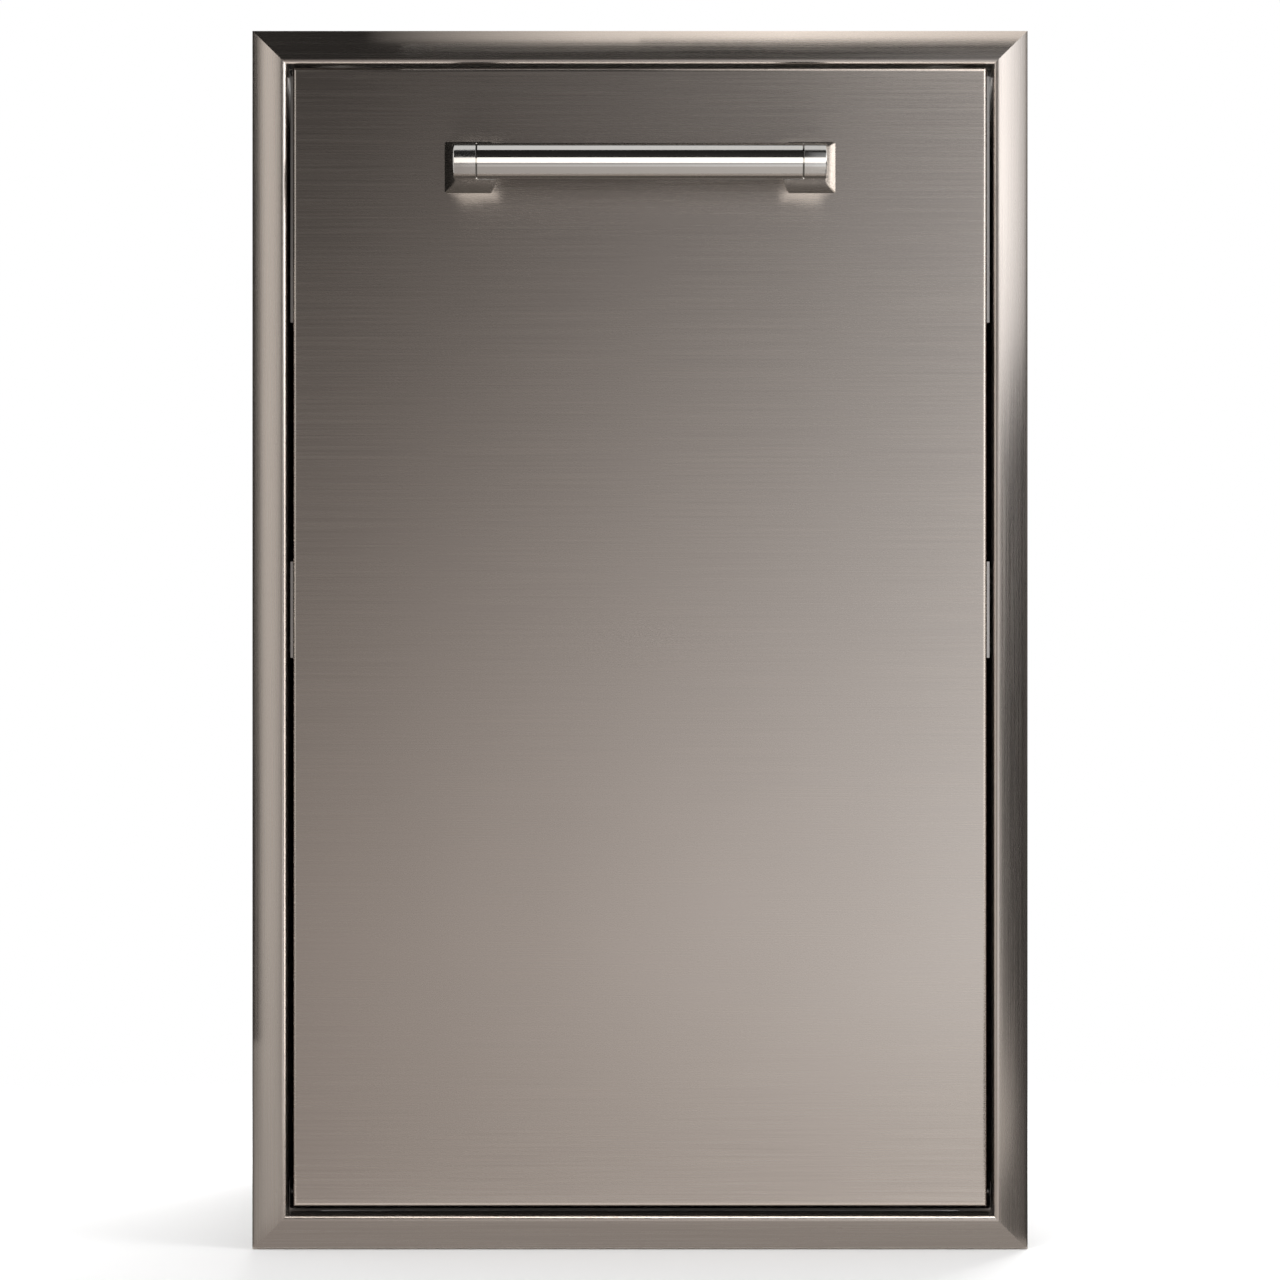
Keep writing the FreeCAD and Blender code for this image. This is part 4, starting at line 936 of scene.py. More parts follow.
def round_outline(centre, half, radius, steps):
    """A rectangle with round corners, about a centre and with the given half sizes."""
    outline = []
    for i, way in enumerate(CORNER_WAYS):
        middle = Vector([centre[k] + way[k] * (half[k] - radius) for k in range(2)])
        outline += arc_points(middle, radius, math.pi / 2 * i, math.pi / 2 * (i + 1), steps)
    return outline


def round_loop(shape, centre, half_x, half_y, radius, z):
    """A round-cornered rectangle as a loop of points at one height."""
    outline = round_outline(centre, (half_x, half_y), radius, CORNER_STEPS)
    return [shape.verts.new((spot.x, spot.y, z)) for spot in outline]


def bin_stages(low, high):
    """From the base out, over the rim and in: outset from the mouth, height, and share of the draft."""
    height = high.z - low.z
    stages = []

    def wall(z, inset):
        share = (high.z - z) / height
        stages.append((-BIN_DRAFT * share - inset, z, share))

    def corner(z, radius, inset, order):
        for turn in quarter_turns()[::order]:
            wall(z + radius * (1 - math.sin(turn)), inset + radius * (1 - math.cos(turn)))

    def straight(start, end, inset):
        for i in range(1, WALL_STEPS):
            wall(start + (end - start) * i / WALL_STEPS, inset)

    corner(low.z, BIN_FLOOR_RADIUS, 0.0, -1)
    straight(low.z + BIN_FLOOR_RADIUS, high.z - RIM_SHEET, 0.0)
    wall(high.z - RIM_SHEET, 0.0)
    under = RIM_WIDTH - BIN_WALL
    stages.append((under, high.z - RIM_SHEET, 0.0))
    stages.append((under, high.z - RIM_LIP, 0.0))
    stages.append((RIM_WIDTH, high.z - RIM_LIP, 0.0))
    for turn in quarter_turns():
        lean = RIM_ROUND * (1 - math.cos(turn))
        stages.append((RIM_WIDTH - lean, high.z - RIM_ROUND * (1 - math.sin(turn)), 0.0))
    for turn in quarter_turns():
        lean = RIM_ROUND * (1 - math.sin(turn))
        stages.append((-BIN_WALL + lean, high.z - RIM_ROUND * (1 - math.cos(turn)), 0.0))
    inner_radius = BIN_FLOOR_RADIUS - BIN_WALL
    straight(high.z - RIM_ROUND, low.z + BIN_FLOOR + inner_radius, BIN_WALL)
    corner(low.z + BIN_FLOOR, inner_radius, BIN_WALL, 1)
    return stages


def waste_bin():
    low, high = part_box("waste_bin")
    centre = (low + high) / 2
    half = (high - low) / 2
    mouth_x = half.x - RIM_WIDTH
    mouth_y = half.y - RIM_WIDTH
    shape = bmesh.new()
    loops = []
    for outset, z, share in bin_stages(low, high):
        radius = BIN_CORNER + (BIN_FLOOR_CORNER - BIN_CORNER) * share + outset + BIN_DRAFT * share
        loops.append(round_loop(shape, centre, mouth_x + outset, mouth_y + outset, radius, z))
    take_place("waste_bin", stacked_mesh(shape, loops, "waste_bin"), bin_plastic)


waste_bin()

# %% [markdown]
# ### Handle
# The bar is a length of polished tube, held between two cast posts. A tube is a profile turned about an
# axis, so one helper turns a profile and another lays the result along the drawer's width.

# %% Turned shapes and the handle bar
TURN_STEPS = 64
TUBE_WALL = 1.5 * MM
TUBE_CHAMFER = 0.5 * MM


def turned_mesh(name, profile, closed=False):
    """A shape turned about the Z axis: radius and height for each point of its profile."""
    shape = bmesh.new()
    turns = [2 * math.pi * i / TURN_STEPS for i in range(TURN_STEPS)]
    rings = []
    for radius, height in profile:
        rings.append([shape.verts.new((radius * math.cos(t), radius * math.sin(t), height)) for t in turns])
    if not closed:
        return stacked_mesh(shape, rings, name)
    join_loops(shape, rings + rings[:1])
    return mesh_from(shape, name)


def along_x(mesh, centre):
    """Lays a turned shape along the X axis, about the given point."""
    mesh.transform(Matrix.Translation(centre) @ Matrix.Rotation(math.radians(90), 4, "Y"))
    return mesh


def handle_tube():
    low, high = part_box("handle_tube")
    half = (high.x - low.x) / 2
    radius = (high.z - low.z) / 2
    bore = radius - TUBE_WALL
    profile = [(bore, -half), (radius - TUBE_CHAMFER, -half), (radius, -half + TUBE_CHAMFER)]
    profile += [(radius, half - TUBE_CHAMFER), (radius - TUBE_CHAMFER, half), (bore, half)]
    tube = along_x(turned_mesh("handle_tube", profile, True), (low + high) / 2)
    take_place("handle_tube", tube, polished_bar)


handle_tube()

# %% [markdown]
# Some shapes are easiest to make by cutting one mesh with another, as a mill would, or by joining two.
# The Boolean modifier does both. It is evaluated once on two carriers, and only the plain mesh is kept.

# %% Helpers that cut and join
SAME_POINT = 0.001 * MM


def combined(mesh, other, operation):
    """One mesh cut by another, or joined with it."""
    base = bpy.data.objects.new("base", mesh)
    tool = bpy.data.objects.new("tool", other)
    for carrier in (base, tool):
        scene.collection.objects.link(carrier)
    modifier = base.modifiers.new("combine", "BOOLEAN")
    modifier.operation = operation
    modifier.solver = "EXACT"
    modifier.object = tool
    graph = bpy.context.evaluated_depsgraph_get()
    shape = bmesh.new()
    shape.from_object(base, graph)
    for carrier in (base, tool):
        bpy.data.objects.remove(carrier)
    bmesh.ops.dissolve_degenerate(shape, dist=SAME_POINT, edges=shape.edges)
    return mesh_from(shape, mesh.name)


def block_mesh(low, high):
    shape = bmesh.new()
    middle = (Vector(low) + Vector(high)) / 2
    size = Vector(high) - Vector(low)
    place = Matrix.Translation(middle) @ Matrix.Diagonal((*size, 1))
    bmesh.ops.create_cube(shape, size=1.0, matrix=place)
    return mesh_from(shape, "block")


print("points closer than", SAME_POINT, "become one")

# %% [markdown]
# Each post stands on a foot that flares out where it meets the door, thins quickly towards the bar and
# ends in a round head of the bar's own thickness. The flare is a curve: the share of the foot's extra
# size that is left falls with the cube of the way out. The body is lofted along that curve, a block and a
# bore cut the saddle for the bar out of it, and the turned head is joined on.

# %% Handle posts
POST_WIDTH = 23 * MM
FOOT_WIDTH = 25.7 * MM
POST_EDGE = 1.1 * MM
POST_STEPS = 20
EDGE_STEPS = 4
FLARE = 3
SADDLE_BACK = 6.5 * MM
SADDLE_CLEARANCE = 0.1 * MM
HEAD_LENGTH = 12.5 * MM
HEAD_ROUND = 0.9 * MM


def post_body(bar, foot, tip_x):
    """The flared post, from its foot on the door to the middle of the bar."""
    shape = bmesh.new()
    loops = []
    for i in range(POST_STEPS + 1):
        out = i / POST_STEPS
        left = (1 - out) ** FLARE
        width = POST_WIDTH + (FOOT_WIDTH - POST_WIDTH) * left
        height = bar["size"] + (foot["height"] - bar["size"]) * left
        x = tip_x + (foot["x"] - tip_x) * left
        y = foot["y"] + (bar["y"] - foot["y"]) * out
        outline = round_outline((x, bar["z"]), (width / 2, height / 2), POST_EDGE, EDGE_STEPS)
        loops.append([shape.verts.new((spot.x, y, spot.y)) for spot in outline])
    return stacked_mesh(shape, loops, "post")


def post_head(radius):
    """A short round bar with a chamfer at its seam and a rounded end."""
    rounding = Vector((radius - HEAD_ROUND, HEAD_LENGTH - HEAD_ROUND))
    end = arc_points(rounding, HEAD_ROUND, 0, math.pi / 2, EDGE_STEPS)
    seam = [(radius - TUBE_CHAMFER, 0.0), (radius, TUBE_CHAMFER)]
    return turned_mesh("head", seam + [tuple(spot) for spot in end])


def handle_post(node, side):
    low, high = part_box(node)
    tube_low, tube_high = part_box("handle_tube")
    middle = (tube_low + tube_high) / 2
    radius = (tube_high.z - tube_low.z) / 2
    tube_end = tube_high.x
    foot_edge = max(abs(low.x), abs(high.x))
    head_end = tube_end + HEAD_LENGTH
    bar = {"y": middle.y, "z": middle.z, "size": 2 * radius}
    foot = {"x": side * (foot_edge - FOOT_WIDTH / 2), "y": high.y, "height": high.z - low.z}
    body = post_body(bar, foot, side * (head_end - POST_WIDTH / 2))
    spans = sorted((0.0, side * tube_end))
    gap_low = (spans[0], middle.y - 2 * radius, middle.z - 2 * radius)
    gap_high = (spans[1], middle.y + SADDLE_BACK, middle.z + 2 * radius)
    body = combined(body, block_mesh(gap_low, gap_high), "DIFFERENCE")
    room = radius + SADDLE_CLEARANCE
    bore = turned_mesh("bore", [(room, -tube_end), (room, tube_end)])
    body = combined(body, along_x(bore, middle), "DIFFERENCE")
    head = post_head(radius)
    if side < 0:
        head.transform(Matrix.Rotation(math.pi, 4, "X"))
    head = along_x(head, Vector((side * tube_end, middle.y, middle.z)))
    take_place(node, combined(body, head, "UNION"), satin_casting)


handle_post("handle_post_right", 1)
handle_post("handle_post_left", -1)

# %% [markdown]
# ### Folded sheets
# Housing, carriage and brackets are bent from sheet. A press brake can't fold a sharp corner: the inside
# keeps a small radius and the outside is larger by the sheet's thickness. One helper rounds a path's
# corners, and a second gives the path its thickness, so that each piece is only a path and a length.

# %% Helpers for folded sheets
INSIDE_BEND = 1.0 * MM
FOLD_STEPS = 5


def rounded_path(path, radii):
    """The path with every corner between its ends rounded by its own radius."""
    spots = [path[0]]
    for before, corner, after, radius in zip(path, path[1:], path[2:], radii):
        arrive = (corner - before).normalized()
        leave = (after - corner).normalized()
        turn = arrive.angle(leave)
        aside = (leave - arrive * math.cos(turn)).normalized()
        centre = corner - arrive * (radius * math.tan(turn / 2)) + aside * radius
        for i in range(FOLD_STEPS + 1):
            part = turn * i / FOLD_STEPS
            spots.append(centre + (arrive * math.sin(part) - aside * math.cos(part)) * radius)
    return spots + [path[-1]]


def sheet_outline(path, sheet, side):
    """The outline of a folded sheet: one face follows the path, the other lies to its left or right."""
    ways = [(after - before).normalized() for before, after in zip(path, path[1:])]
    lefts = [Vector((-way.y, way.x)) * side for way in ways]
    other = [path[0] + lefts[0] * sheet]
    near_radii = []
    far_radii = []
    for i in range(len(ways) - 1):
        reach = sheet / (1 + lefts[i].dot(lefts[i + 1]))
        other.append(path[i + 1] + (lefts[i] + lefts[i + 1]) * reach)
        inwards = ways[i + 1].dot(lefts[i]) > 0
        near_radii.append(INSIDE_BEND + (sheet if inwards else 0.0))
        far_radii.append(INSIDE_BEND + (0.0 if inwards else sheet))
    other.append(path[-1] + lefts[-1] * sheet)
    return rounded_path(path, near_radii) + rounded_path(other, far_radii)[::-1]


def swept_mesh(name, outline, axes, span):
    """An outline in the plane of the first two axes, swept along the third."""
    shape = bmesh.new()
    loops = []
    for end in span:
        loop = []
        for spot in outline:
            place = [0.0, 0.0, 0.0]
            for axis, value in zip(axes, (spot.x, spot.y, end)):
                place[axis] = value
            loop.append(shape.verts.new(place))
        loops.append(loop)
    return stacked_mesh(shape, loops, name)


def channel_mesh(node, web, edges, sheet, span=None, ends=(True, True)):
    """A web on one side of the node's box, with flanges at the low and high ends of the edges axis."""
    low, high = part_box(node)
    axis, way = web
    sweep = 3 - axis - edges
    back = high[axis] if way > 0 else low[axis]
    tip = low[axis] if way > 0 else high[axis]
    path = [Vector((back, low[edges])), Vector((back, high[edges]))]
    if ends[0]:
        path.insert(0, Vector((tip, low[edges])))
    if ends[1]:
        path.append(Vector((tip, high[edges])))
    outline = sheet_outline(path, sheet, way)
    return swept_mesh(node, outline, (axis, edges, sweep), span or (low[sweep], high[sweep]))


print("inside bend", INSIDE_BEND)

# %% [markdown]
# The side panels are tall channels with a tongue in front that the frame's jamb is welded to, and four
# holes for the screws that hold the housing in the island. The holes' places come from the mounts in the
# record.

# %% Side panels
X, Y, Z = range(3)
HOUSING_SHEET = 1.2 * MM
FLANGE_FRONT = 18 * MM
TONGUE_INSET = 16 * MM


def screw_holes(mount_name):
    """One cutter for each screw of a mount: a round bar of the hole's size, at its place."""
    mount = next(mount for mount in frame["record"]["mounts"] if mount["name"] == mount_name)
    size = mount["dims"]
    step = Vector((0, size["spacing_x_mm"], size["spacing_y_mm"])) * MM / 2
    radius = size["hole_r_mm"] * MM
    reach = HOUSING_SHEET * 2
    for way_y, way_z in CORNER_WAYS:
        spot = Vector(mount["pos_m"]) + Vector((0, step.y * way_y, step.z * way_z))
        yield along_x(turned_mesh("hole", [(radius, -reach), (radius, reach)]), spot)


def side_panel(node, side, mount_name):
    low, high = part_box(node)
    panel = channel_mesh(node, (X, side), Z, HOUSING_SHEET, (FLANGE_FRONT, high.y))
    outer = side * max(abs(low.x), abs(high.x))
    walls = sorted((outer, outer - side * HOUSING_SHEET))
    tongue_low = (walls[0], low.y, low.z + TONGUE_INSET)
    tongue_high = (walls[1], FLANGE_FRONT + INSIDE_BEND, high.z - TONGUE_INSET)
    panel = combined(panel, block_mesh(tongue_low, tongue_high), "UNION")
    for cutter in screw_holes(mount_name):
        panel = combined(panel, cutter, "DIFFERENCE")
    take_place(node, panel, mill_sheet, flat=True)


side_panel("side_panel_right", 1, "right_side_screws")
side_panel("side_panel_left", -1, "left_side_screws")

# %% [markdown]
# The other folded pieces differ only in which side the web is on and along which edges it is turned, so
# one call makes each of them, and loops take the pairs.

# %% Housing and carriage sheets
CARRIAGE_SHEET = 1.5 * MM
FIRST_EDGE = (True, False)


def folded_sheet(node, web, edges, sheet, finish, ends=(True, True)):
    take_place(node, channel_mesh(node, web, edges, sheet, ends=ends), finish, flat=True)


folded_sheet("back_panel", (Y, 1), X, HOUSING_SHEET, mill_sheet)
for node in ("top_front_brace", "top_rear_brace"):
    folded_sheet(node, (Z, 1), Y, HOUSING_SHEET, mill_sheet_across, FIRST_EDGE)
for node, way in (("rear_cross_rail", 1), ("ring_rear", 1), ("ring_front", -1)):
    folded_sheet(node, (Y, way), X, CARRIAGE_SHEET, mill_sheet_across)
for side, end in ((1, "right"), (-1, "left")):
    folded_sheet("rail_" + end, (X, side), Z, CARRIAGE_SHEET, mill_sheet)
    folded_sheet("ring_side_" + end, (X, side), Z, CARRIAGE_SHEET, mill_sheet, FIRST_EDGE)
    folded_sheet("rear_upright_" + end, (Y, -1), X, CARRIAGE_SHEET, mill_sheet)

# %% [markdown]
# The floor pan is one more folded sheet, with two notches at the back that leave room for its neighbours'
# flanges. Its front edge shows under the door, so the sharp corner that the shears leave is rounded off
# there.

# %% Floor pan
PAN_NOTCH_LENGTH = 18 * MM
PAN_NOTCH_DEPTH = 1 * MM
PAN_FRONT_ROUND = 1.0 * MM
ROUND_STEPS = 3


def notched(mesh, blocks):
    for low, high in blocks:
        mesh = combined(mesh, block_mesh(low, high), "DIFFERENCE")
    return mesh


def rounded_edges(mesh, chosen, radius):
    """Rounds the edges that a test chooses."""
    shape = bmesh.new()
    shape.from_mesh(mesh)
    edges = [edge for edge in shape.edges if chosen(edge)]
    bmesh.ops.bevel(
        shape, geom=edges, offset=radius, offset_type="OFFSET", segments=ROUND_STEPS, profile=0.5,
        affect="EDGES", clamp_overlap=True,
    )
    return mesh_from(shape, mesh.name)


def base_pan():
    low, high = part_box("base_pan")
    pan = channel_mesh("base_pan", (Z, -1), X, HOUSING_SHEET)
    top = low.z + HOUSING_SHEET

    def on_front_corner(edge):
        return all(abs(v.co.y - low.y) < SAME_PLACE and abs(v.co.z - top) < SAME_PLACE for v in edge.verts)

    pan = rounded_edges(pan, on_front_corner, PAN_FRONT_ROUND)
    notches = []
    for side in (1, -1):
        across = sorted((side * (high.x - PAN_NOTCH_DEPTH), side * (high.x + PAN_NOTCH_DEPTH)))
        start = (across[0], high.y - PAN_NOTCH_LENGTH, low.z - PAN_NOTCH_DEPTH)
        end = (across[1], high.y + PAN_NOTCH_DEPTH, high.z + PAN_NOTCH_DEPTH)
        notches.append((start, end))
    take_place("base_pan", notched(pan, notches), mill_sheet, flat=True)


base_pan()

# %% [markdown]
# The deck carries the bin by its rim. It is a tray turned upside down, with its corners notched and an
# opening whose edge is drawn down into a collar. The press rounds that edge, so the collar is made apart
# as a stack of rounded rectangles, and it fills the hole that is cut for it in the tray.

# %% Bin deck
DECK_END_NOTCH = 14.5 * MM
DECK_COLLAR = 8 * MM
DECK_BIN_GAP = 3 * MM
DECK_EDGE_ROUND = 3 * MM
CUT_REACH = 1 * MM


def deck_collar(centre, mouth, top):
    """The rounded edge of the opening and the collar under it, as one closed ring."""
    shape = bmesh.new()
    inner = DECK_EDGE_ROUND - CARRIAGE_SHEET
    stages = []
    for turn in quarter_turns():
        drop = DECK_EDGE_ROUND * (1 - math.cos(turn))
        stages.append((DECK_EDGE_ROUND * (1 - math.sin(turn)), top - drop))
    stages += [(0.0, top - DECK_COLLAR), (CARRIAGE_SHEET, top - DECK_COLLAR)]
    for turn in quarter_turns()[::-1]:
        rise = inner * math.cos(turn)
        stages.append((DECK_EDGE_ROUND - inner * math.sin(turn), top - DECK_EDGE_ROUND + rise))
    loops = []
    for outset, z in stages:
        radius = BIN_CORNER + DECK_BIN_GAP + outset
        loops.append(round_loop(shape, centre, mouth.x + outset, mouth.y + outset, radius, z))
    join_loops(shape, loops + loops[:1])
    return mesh_from(shape, "collar")


def opening_block(centre, mouth, low_z, high_z):
    """A bar with the outline of the deck's opening where its rounded edge begins."""
    shape = bmesh.new()
    radius = BIN_CORNER + DECK_BIN_GAP + DECK_EDGE_ROUND
    size = (mouth.x + DECK_EDGE_ROUND, mouth.y + DECK_EDGE_ROUND, radius)
    loops = [round_loop(shape, centre, *size, z) for z in (low_z, high_z)]
    return stacked_mesh(shape, loops, "opening")


def bin_deck():
    low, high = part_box("bin_deck")
    bin_low, bin_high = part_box("waste_bin")
    centre = (bin_low + bin_high) / 2
    mouth = (bin_high - bin_low) / 2 - Vector((1, 1, 0)) * (RIM_WIDTH - DECK_BIN_GAP)
    below = low.z - CUT_REACH
    above = high.z + CUT_REACH
    front = (low.y - CUT_REACH, low.y + DECK_END_NOTCH)
    rear = (high.y - DECK_END_NOTCH, high.y + CUT_REACH)
    notches = []
    for side in (1, -1):
        across = sorted((side * (high.x - CARRIAGE_SHEET), side * (high.x + CARRIAGE_SHEET)))
        for start, end in (front, rear):
            notches.append(((across[0], start, below), (across[1], end, above)))
    tray = notched(channel_mesh("bin_deck", (Z, 1), X, CARRIAGE_SHEET), notches)
    tray = combined(tray, opening_block(centre, mouth, below, above), "DIFFERENCE")
    deck = combined(tray, deck_collar(centre, mouth, high.z), "UNION")
    take_place("bin_deck", deck, mill_sheet_across, flat=True)


bin_deck()

# %% [markdown]
# The brackets between the door and the carriage are straps with a step: they lap the door's side flange,
# lean inwards behind the door and lap the carriage. A path of four points has both bends, and sweeping it
# over the strap's height makes the piece.

# %% Brackets
BRACKET_STRAIGHT = 15 * MM
BRACKET_LAP = 24 * MM


def bracket(node, side):
    low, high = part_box(node)
    wide = side * max(abs(low.x), abs(high.x)) - side * CARRIAGE_SHEET
    narrow = side * min(abs(low.x), abs(high.x))
    path = [(wide, low.y), (wide, low.y + BRACKET_STRAIGHT)]
    path += [(narrow, high.y - BRACKET_LAP), (narrow, high.y)]
    outline = sheet_outline([Vector(spot) for spot in path], CARRIAGE_SHEET, -side)
    strap = swept_mesh(node, outline, (X, Y, Z), (low.z, high.z))
    take_place(node, strap, mill_sheet, flat=True)


for side, end in ((1, "right"), (-1, "left")):
    bracket("upper_bracket_" + end, side)
    bracket("lower_bracket_" + end, side)

# %% [markdown]
# ### Rivets, nuts and balls
# Small parts repeat, so Geometry Nodes set one shape on many points. The points are read from the solids:
# every rivet's solid tells where its head sits, which way the head faces and how thick a stack of sheets
# it grips.

# %% Places of the rivets
RIVET_TAIL_HEIGHT = 1.2 * MM
RIM_SHARE = 0.98


def solids_of(node):
    """The corner points of each separate solid in a node."""
    shape = bmesh.new()
    shape.from_mesh(nodes[node].data)
    bmesh.ops.remove_doubles(shape, verts=shape.verts, dist=SAME_POINT)
    waiting = set(shape.verts)
    solids = []
    while waiting:
        front = [waiting.pop()]
        members = []
        while front:
            vertex = front.pop()
            members.append(vertex.co.copy())
            for edge in vertex.link_edges:
                other = edge.other_vert(vertex)
                if other in waiting:
                    waiting.remove(other)
                    front.append(other)
        solids.append(members)
    shape.free()
    return solids


def box_of(points):
    low = Vector([min(point[i] for point in points) for i in range(3)])
    high = Vector([max(point[i] for point in points) for i in range(3)])
    return low, high


def rivet_place(points):
    """Where a rivet's head sits, which way it faces and its grip, from the rivet's own points."""
    low, high = box_of(points)
    size = high - low
    axis = min(range(3), key=lambda i: abs(size[i - 1] - size[i - 2]))
    middle = (low + high) / 2
    reach = max(size[axis - 1], size[axis - 2]) / 2
    rim = []
    for point in points:
        away = point - middle
        away[axis] = 0.0
        if away.length > RIM_SHARE * reach:
            rim.append(point[axis])
    base = sum(rim) / len(rim)
    facing = 1 if high[axis] - base < base - low[axis] else -1
    depth = max(high[axis] - base, base - low[axis])
    spot = middle.copy()
    spot[axis] = base
    outward = Vector((0, 0, 0))
    outward[axis] = facing
    return spot, outward, depth - RIVET_TAIL_HEIGHT


def points_mesh(name, places):
    """A mesh of loose points that carry the way outwards and the grip."""
    mesh = bpy.data.meshes.new(name)
    mesh.from_pydata([spot for spot, outward, grip in places], [], [])
    mesh.attributes.new("outward", "FLOAT_VECTOR", "POINT")
    mesh.attributes.new("grip", "FLOAT", "POINT")
    for i, (spot, outward, grip) in enumerate(places):
        mesh.attributes["outward"].data[i].vector = outward
        mesh.attributes["grip"].data[i].value = grip
    return mesh


rivet_nodes = ["housing_rivets", "door_rivets", "bracket_rivets", "carriage_rivets"]
rivet_places = {node: [rivet_place(points) for points in solids_of(node)] for node in rivet_nodes}
print({node: len(places) for node, places in rivet_places.items()})

# %% [markdown]
# A blind rivet is set from one side: a domed head with a small hollow where the mandrel broke off, and a
# bulb behind the sheets. The dome is a cone whose rings are lifted onto a half ellipse, and the hollow is
# its tip pushed back in.

# %% Rivets as a node tree
HEAD_STEPS = 24
HEAD_RINGS = 8
TAIL_STEPS = 20
HOLLOW_WIDTH = 0.3
HOLLOW_DEPTH = 0.45


def point_value(tree, name, kind):
    """A value that every point carries."""
    return add_node(tree, "GeometryNodeInputNamedAttribute", {"data_type": kind}, Name=name).outputs[0]


def set_on_points(tree, points, instance):
    """Instances of a shape that stand on the points and face outwards."""
    outward = point_value(tree, "outward", "FLOAT_VECTOR")
    facing = add_node(tree, "FunctionNodeAlignRotationToVector", {"axis": "Z"}, Vector=outward).outputs[0]
    placed = add_node(
        tree, "GeometryNodeInstanceOnPoints", Points=points, Instance=instance, Rotation=facing,
    )
    return placed.outputs[0]


def rivet_head(tree, radius, height):
    """A dome with a hollow in its tip."""
    crown = math_node(tree, "MULTIPLY", radius, HOLLOW_WIDTH)
    cone = add_node(
        tree, "GeometryNodeMeshCone", Vertices=HEAD_STEPS, Side_Segments=HEAD_RINGS,
        Radius_Top=crown, Radius_Bottom=radius, Depth=height,
    ).outputs
    place = add_node(tree, "GeometryNodeInputPosition").outputs[0]
    spot = add_node(tree, "ShaderNodeSeparateXYZ", n0=place).outputs
    flat = add_node(tree, "ShaderNodeCombineXYZ", X=spot["X"], Y=spot["Y"]).outputs[0]
    reach = add_node(tree, "ShaderNodeVectorMath", {"operation": "LENGTH"}, n0=flat).outputs["Value"]
    share = math_node(tree, "POWER", math_node(tree, "DIVIDE", reach, radius), 2.0)
    left = math_node(tree, "MAXIMUM", math_node(tree, "SUBTRACT", 1.0, share), 0.0)
    rise = math_node(tree, "MULTIPLY", math_node(tree, "SQRT", left), height)
    lifted = add_node(tree, "ShaderNodeCombineXYZ", X=spot["X"], Y=spot["Y"], Z=rise).outputs[0]
    dome = add_node(tree, "GeometryNodeSetPosition", Geometry=cone["Mesh"], Position=lifted).outputs[0]
    push = math_node(tree, "MULTIPLY", height, -HOLLOW_DEPTH)
    pit = add_node(
        tree, "GeometryNodeExtrudeMesh", {"mode": "FACES"}, Mesh=dome, Selection=cone["Top"],
        Offset_Scale=push,
    )
    return pit.outputs[0]


def round_bar(tree, steps, radius, depth):
    bar = add_node(tree, "GeometryNodeMeshCylinder", Vertices=steps, Radius=radius, Depth=depth)
    return bar.outputs["Mesh"]


def rivet_tree():
    labels = ["Head Radius", "Head Height", "Tail Radius", "Tail Height"]
    tree, given, result = new_geometry_tree("blind_rivets", {label: "NodeSocketFloat" for label in labels})
    radius, height, tail_radius, tail_height = [given[label] for label in labels]
    heads = set_on_points(tree, given["Geometry"], rivet_head(tree, radius, height))
    half_tail = math_node(tree, "MULTIPLY", tail_height, 0.5)
    reach = math_node(tree, "ADD", point_value(tree, "grip", "FLOAT"), half_tail)
    behind = math_node(tree, "MULTIPLY", reach, -1.0)
    outward = point_value(tree, "outward", "FLOAT_VECTOR")
    step = add_node(tree, "ShaderNodeVectorMath", {"operation": "SCALE"}, n0=outward, Scale=behind)
    tails_at = add_node(
        tree, "GeometryNodeSetPosition", Geometry=given["Geometry"], Offset=step.outputs[0],
    )
    bulb = round_bar(tree, TAIL_STEPS, tail_radius, tail_height)
    tails = set_on_points(tree, tails_at.outputs[0], bulb)
    both = add_node(tree, "GeometryNodeJoinGeometry")
    for part in (heads, tails):
        tree.links.new(part, both.inputs[0])
    close_tree(tree, both.outputs[0], given, result)
    return tree


RIVET_SIZES = {
    "Head Radius": 3.2 * MM,
    "Head Height": 1.0 * MM,
    "Tail Radius": 2.3 * MM,
    "Tail Height": RIVET_TAIL_HEIGHT,
    "Finish": fastener_steel,
}
blind_rivets = rivet_tree()
for node, places in rivet_places.items():
    rivets = grown_mesh(blind_rivets, points_mesh(node, places), RIVET_SIZES, node)
    take_place(node, rivets, fastener_steel)

# %% [markdown]
# A hexagon nut has its corners taken off on a cone, which leaves the curved edges that make it look like
# a nut. The tree cuts a six-sided bar with such a cone and bores it.

# %% Nuts
NUT_SIDES = 6
CONE_STEPS = 48
BORE_STEPS = 24
BORE_REACH = 3.0
CHAMFER_SHARE = 0.475


def nut_place(points, facing):
    """Where a nut stands; facing is 1 when it faces away from the drawer's middle plane."""
    low, high = box_of(points)
    spot = (low + high) / 2
    outward = Vector((math.copysign(facing, spot.x * facing), 0, 0))
    spot.x = low.x if outward.x > 0 else high.x
    return spot, outward, 0.0


def combined_in_tree(tree, operation, **parts):
    """A boolean node: parts are given as Mesh_1 and Mesh_2, each with a list of sockets."""
    node = add_node(tree, "GeometryNodeMeshBoolean", {"operation": operation, "solver": "EXACT"})
    for label, sockets in parts.items():
        for socket in sockets:
            tree.links.new(socket, node.inputs[label.replace("_", " ")])
    return node.outputs[0]


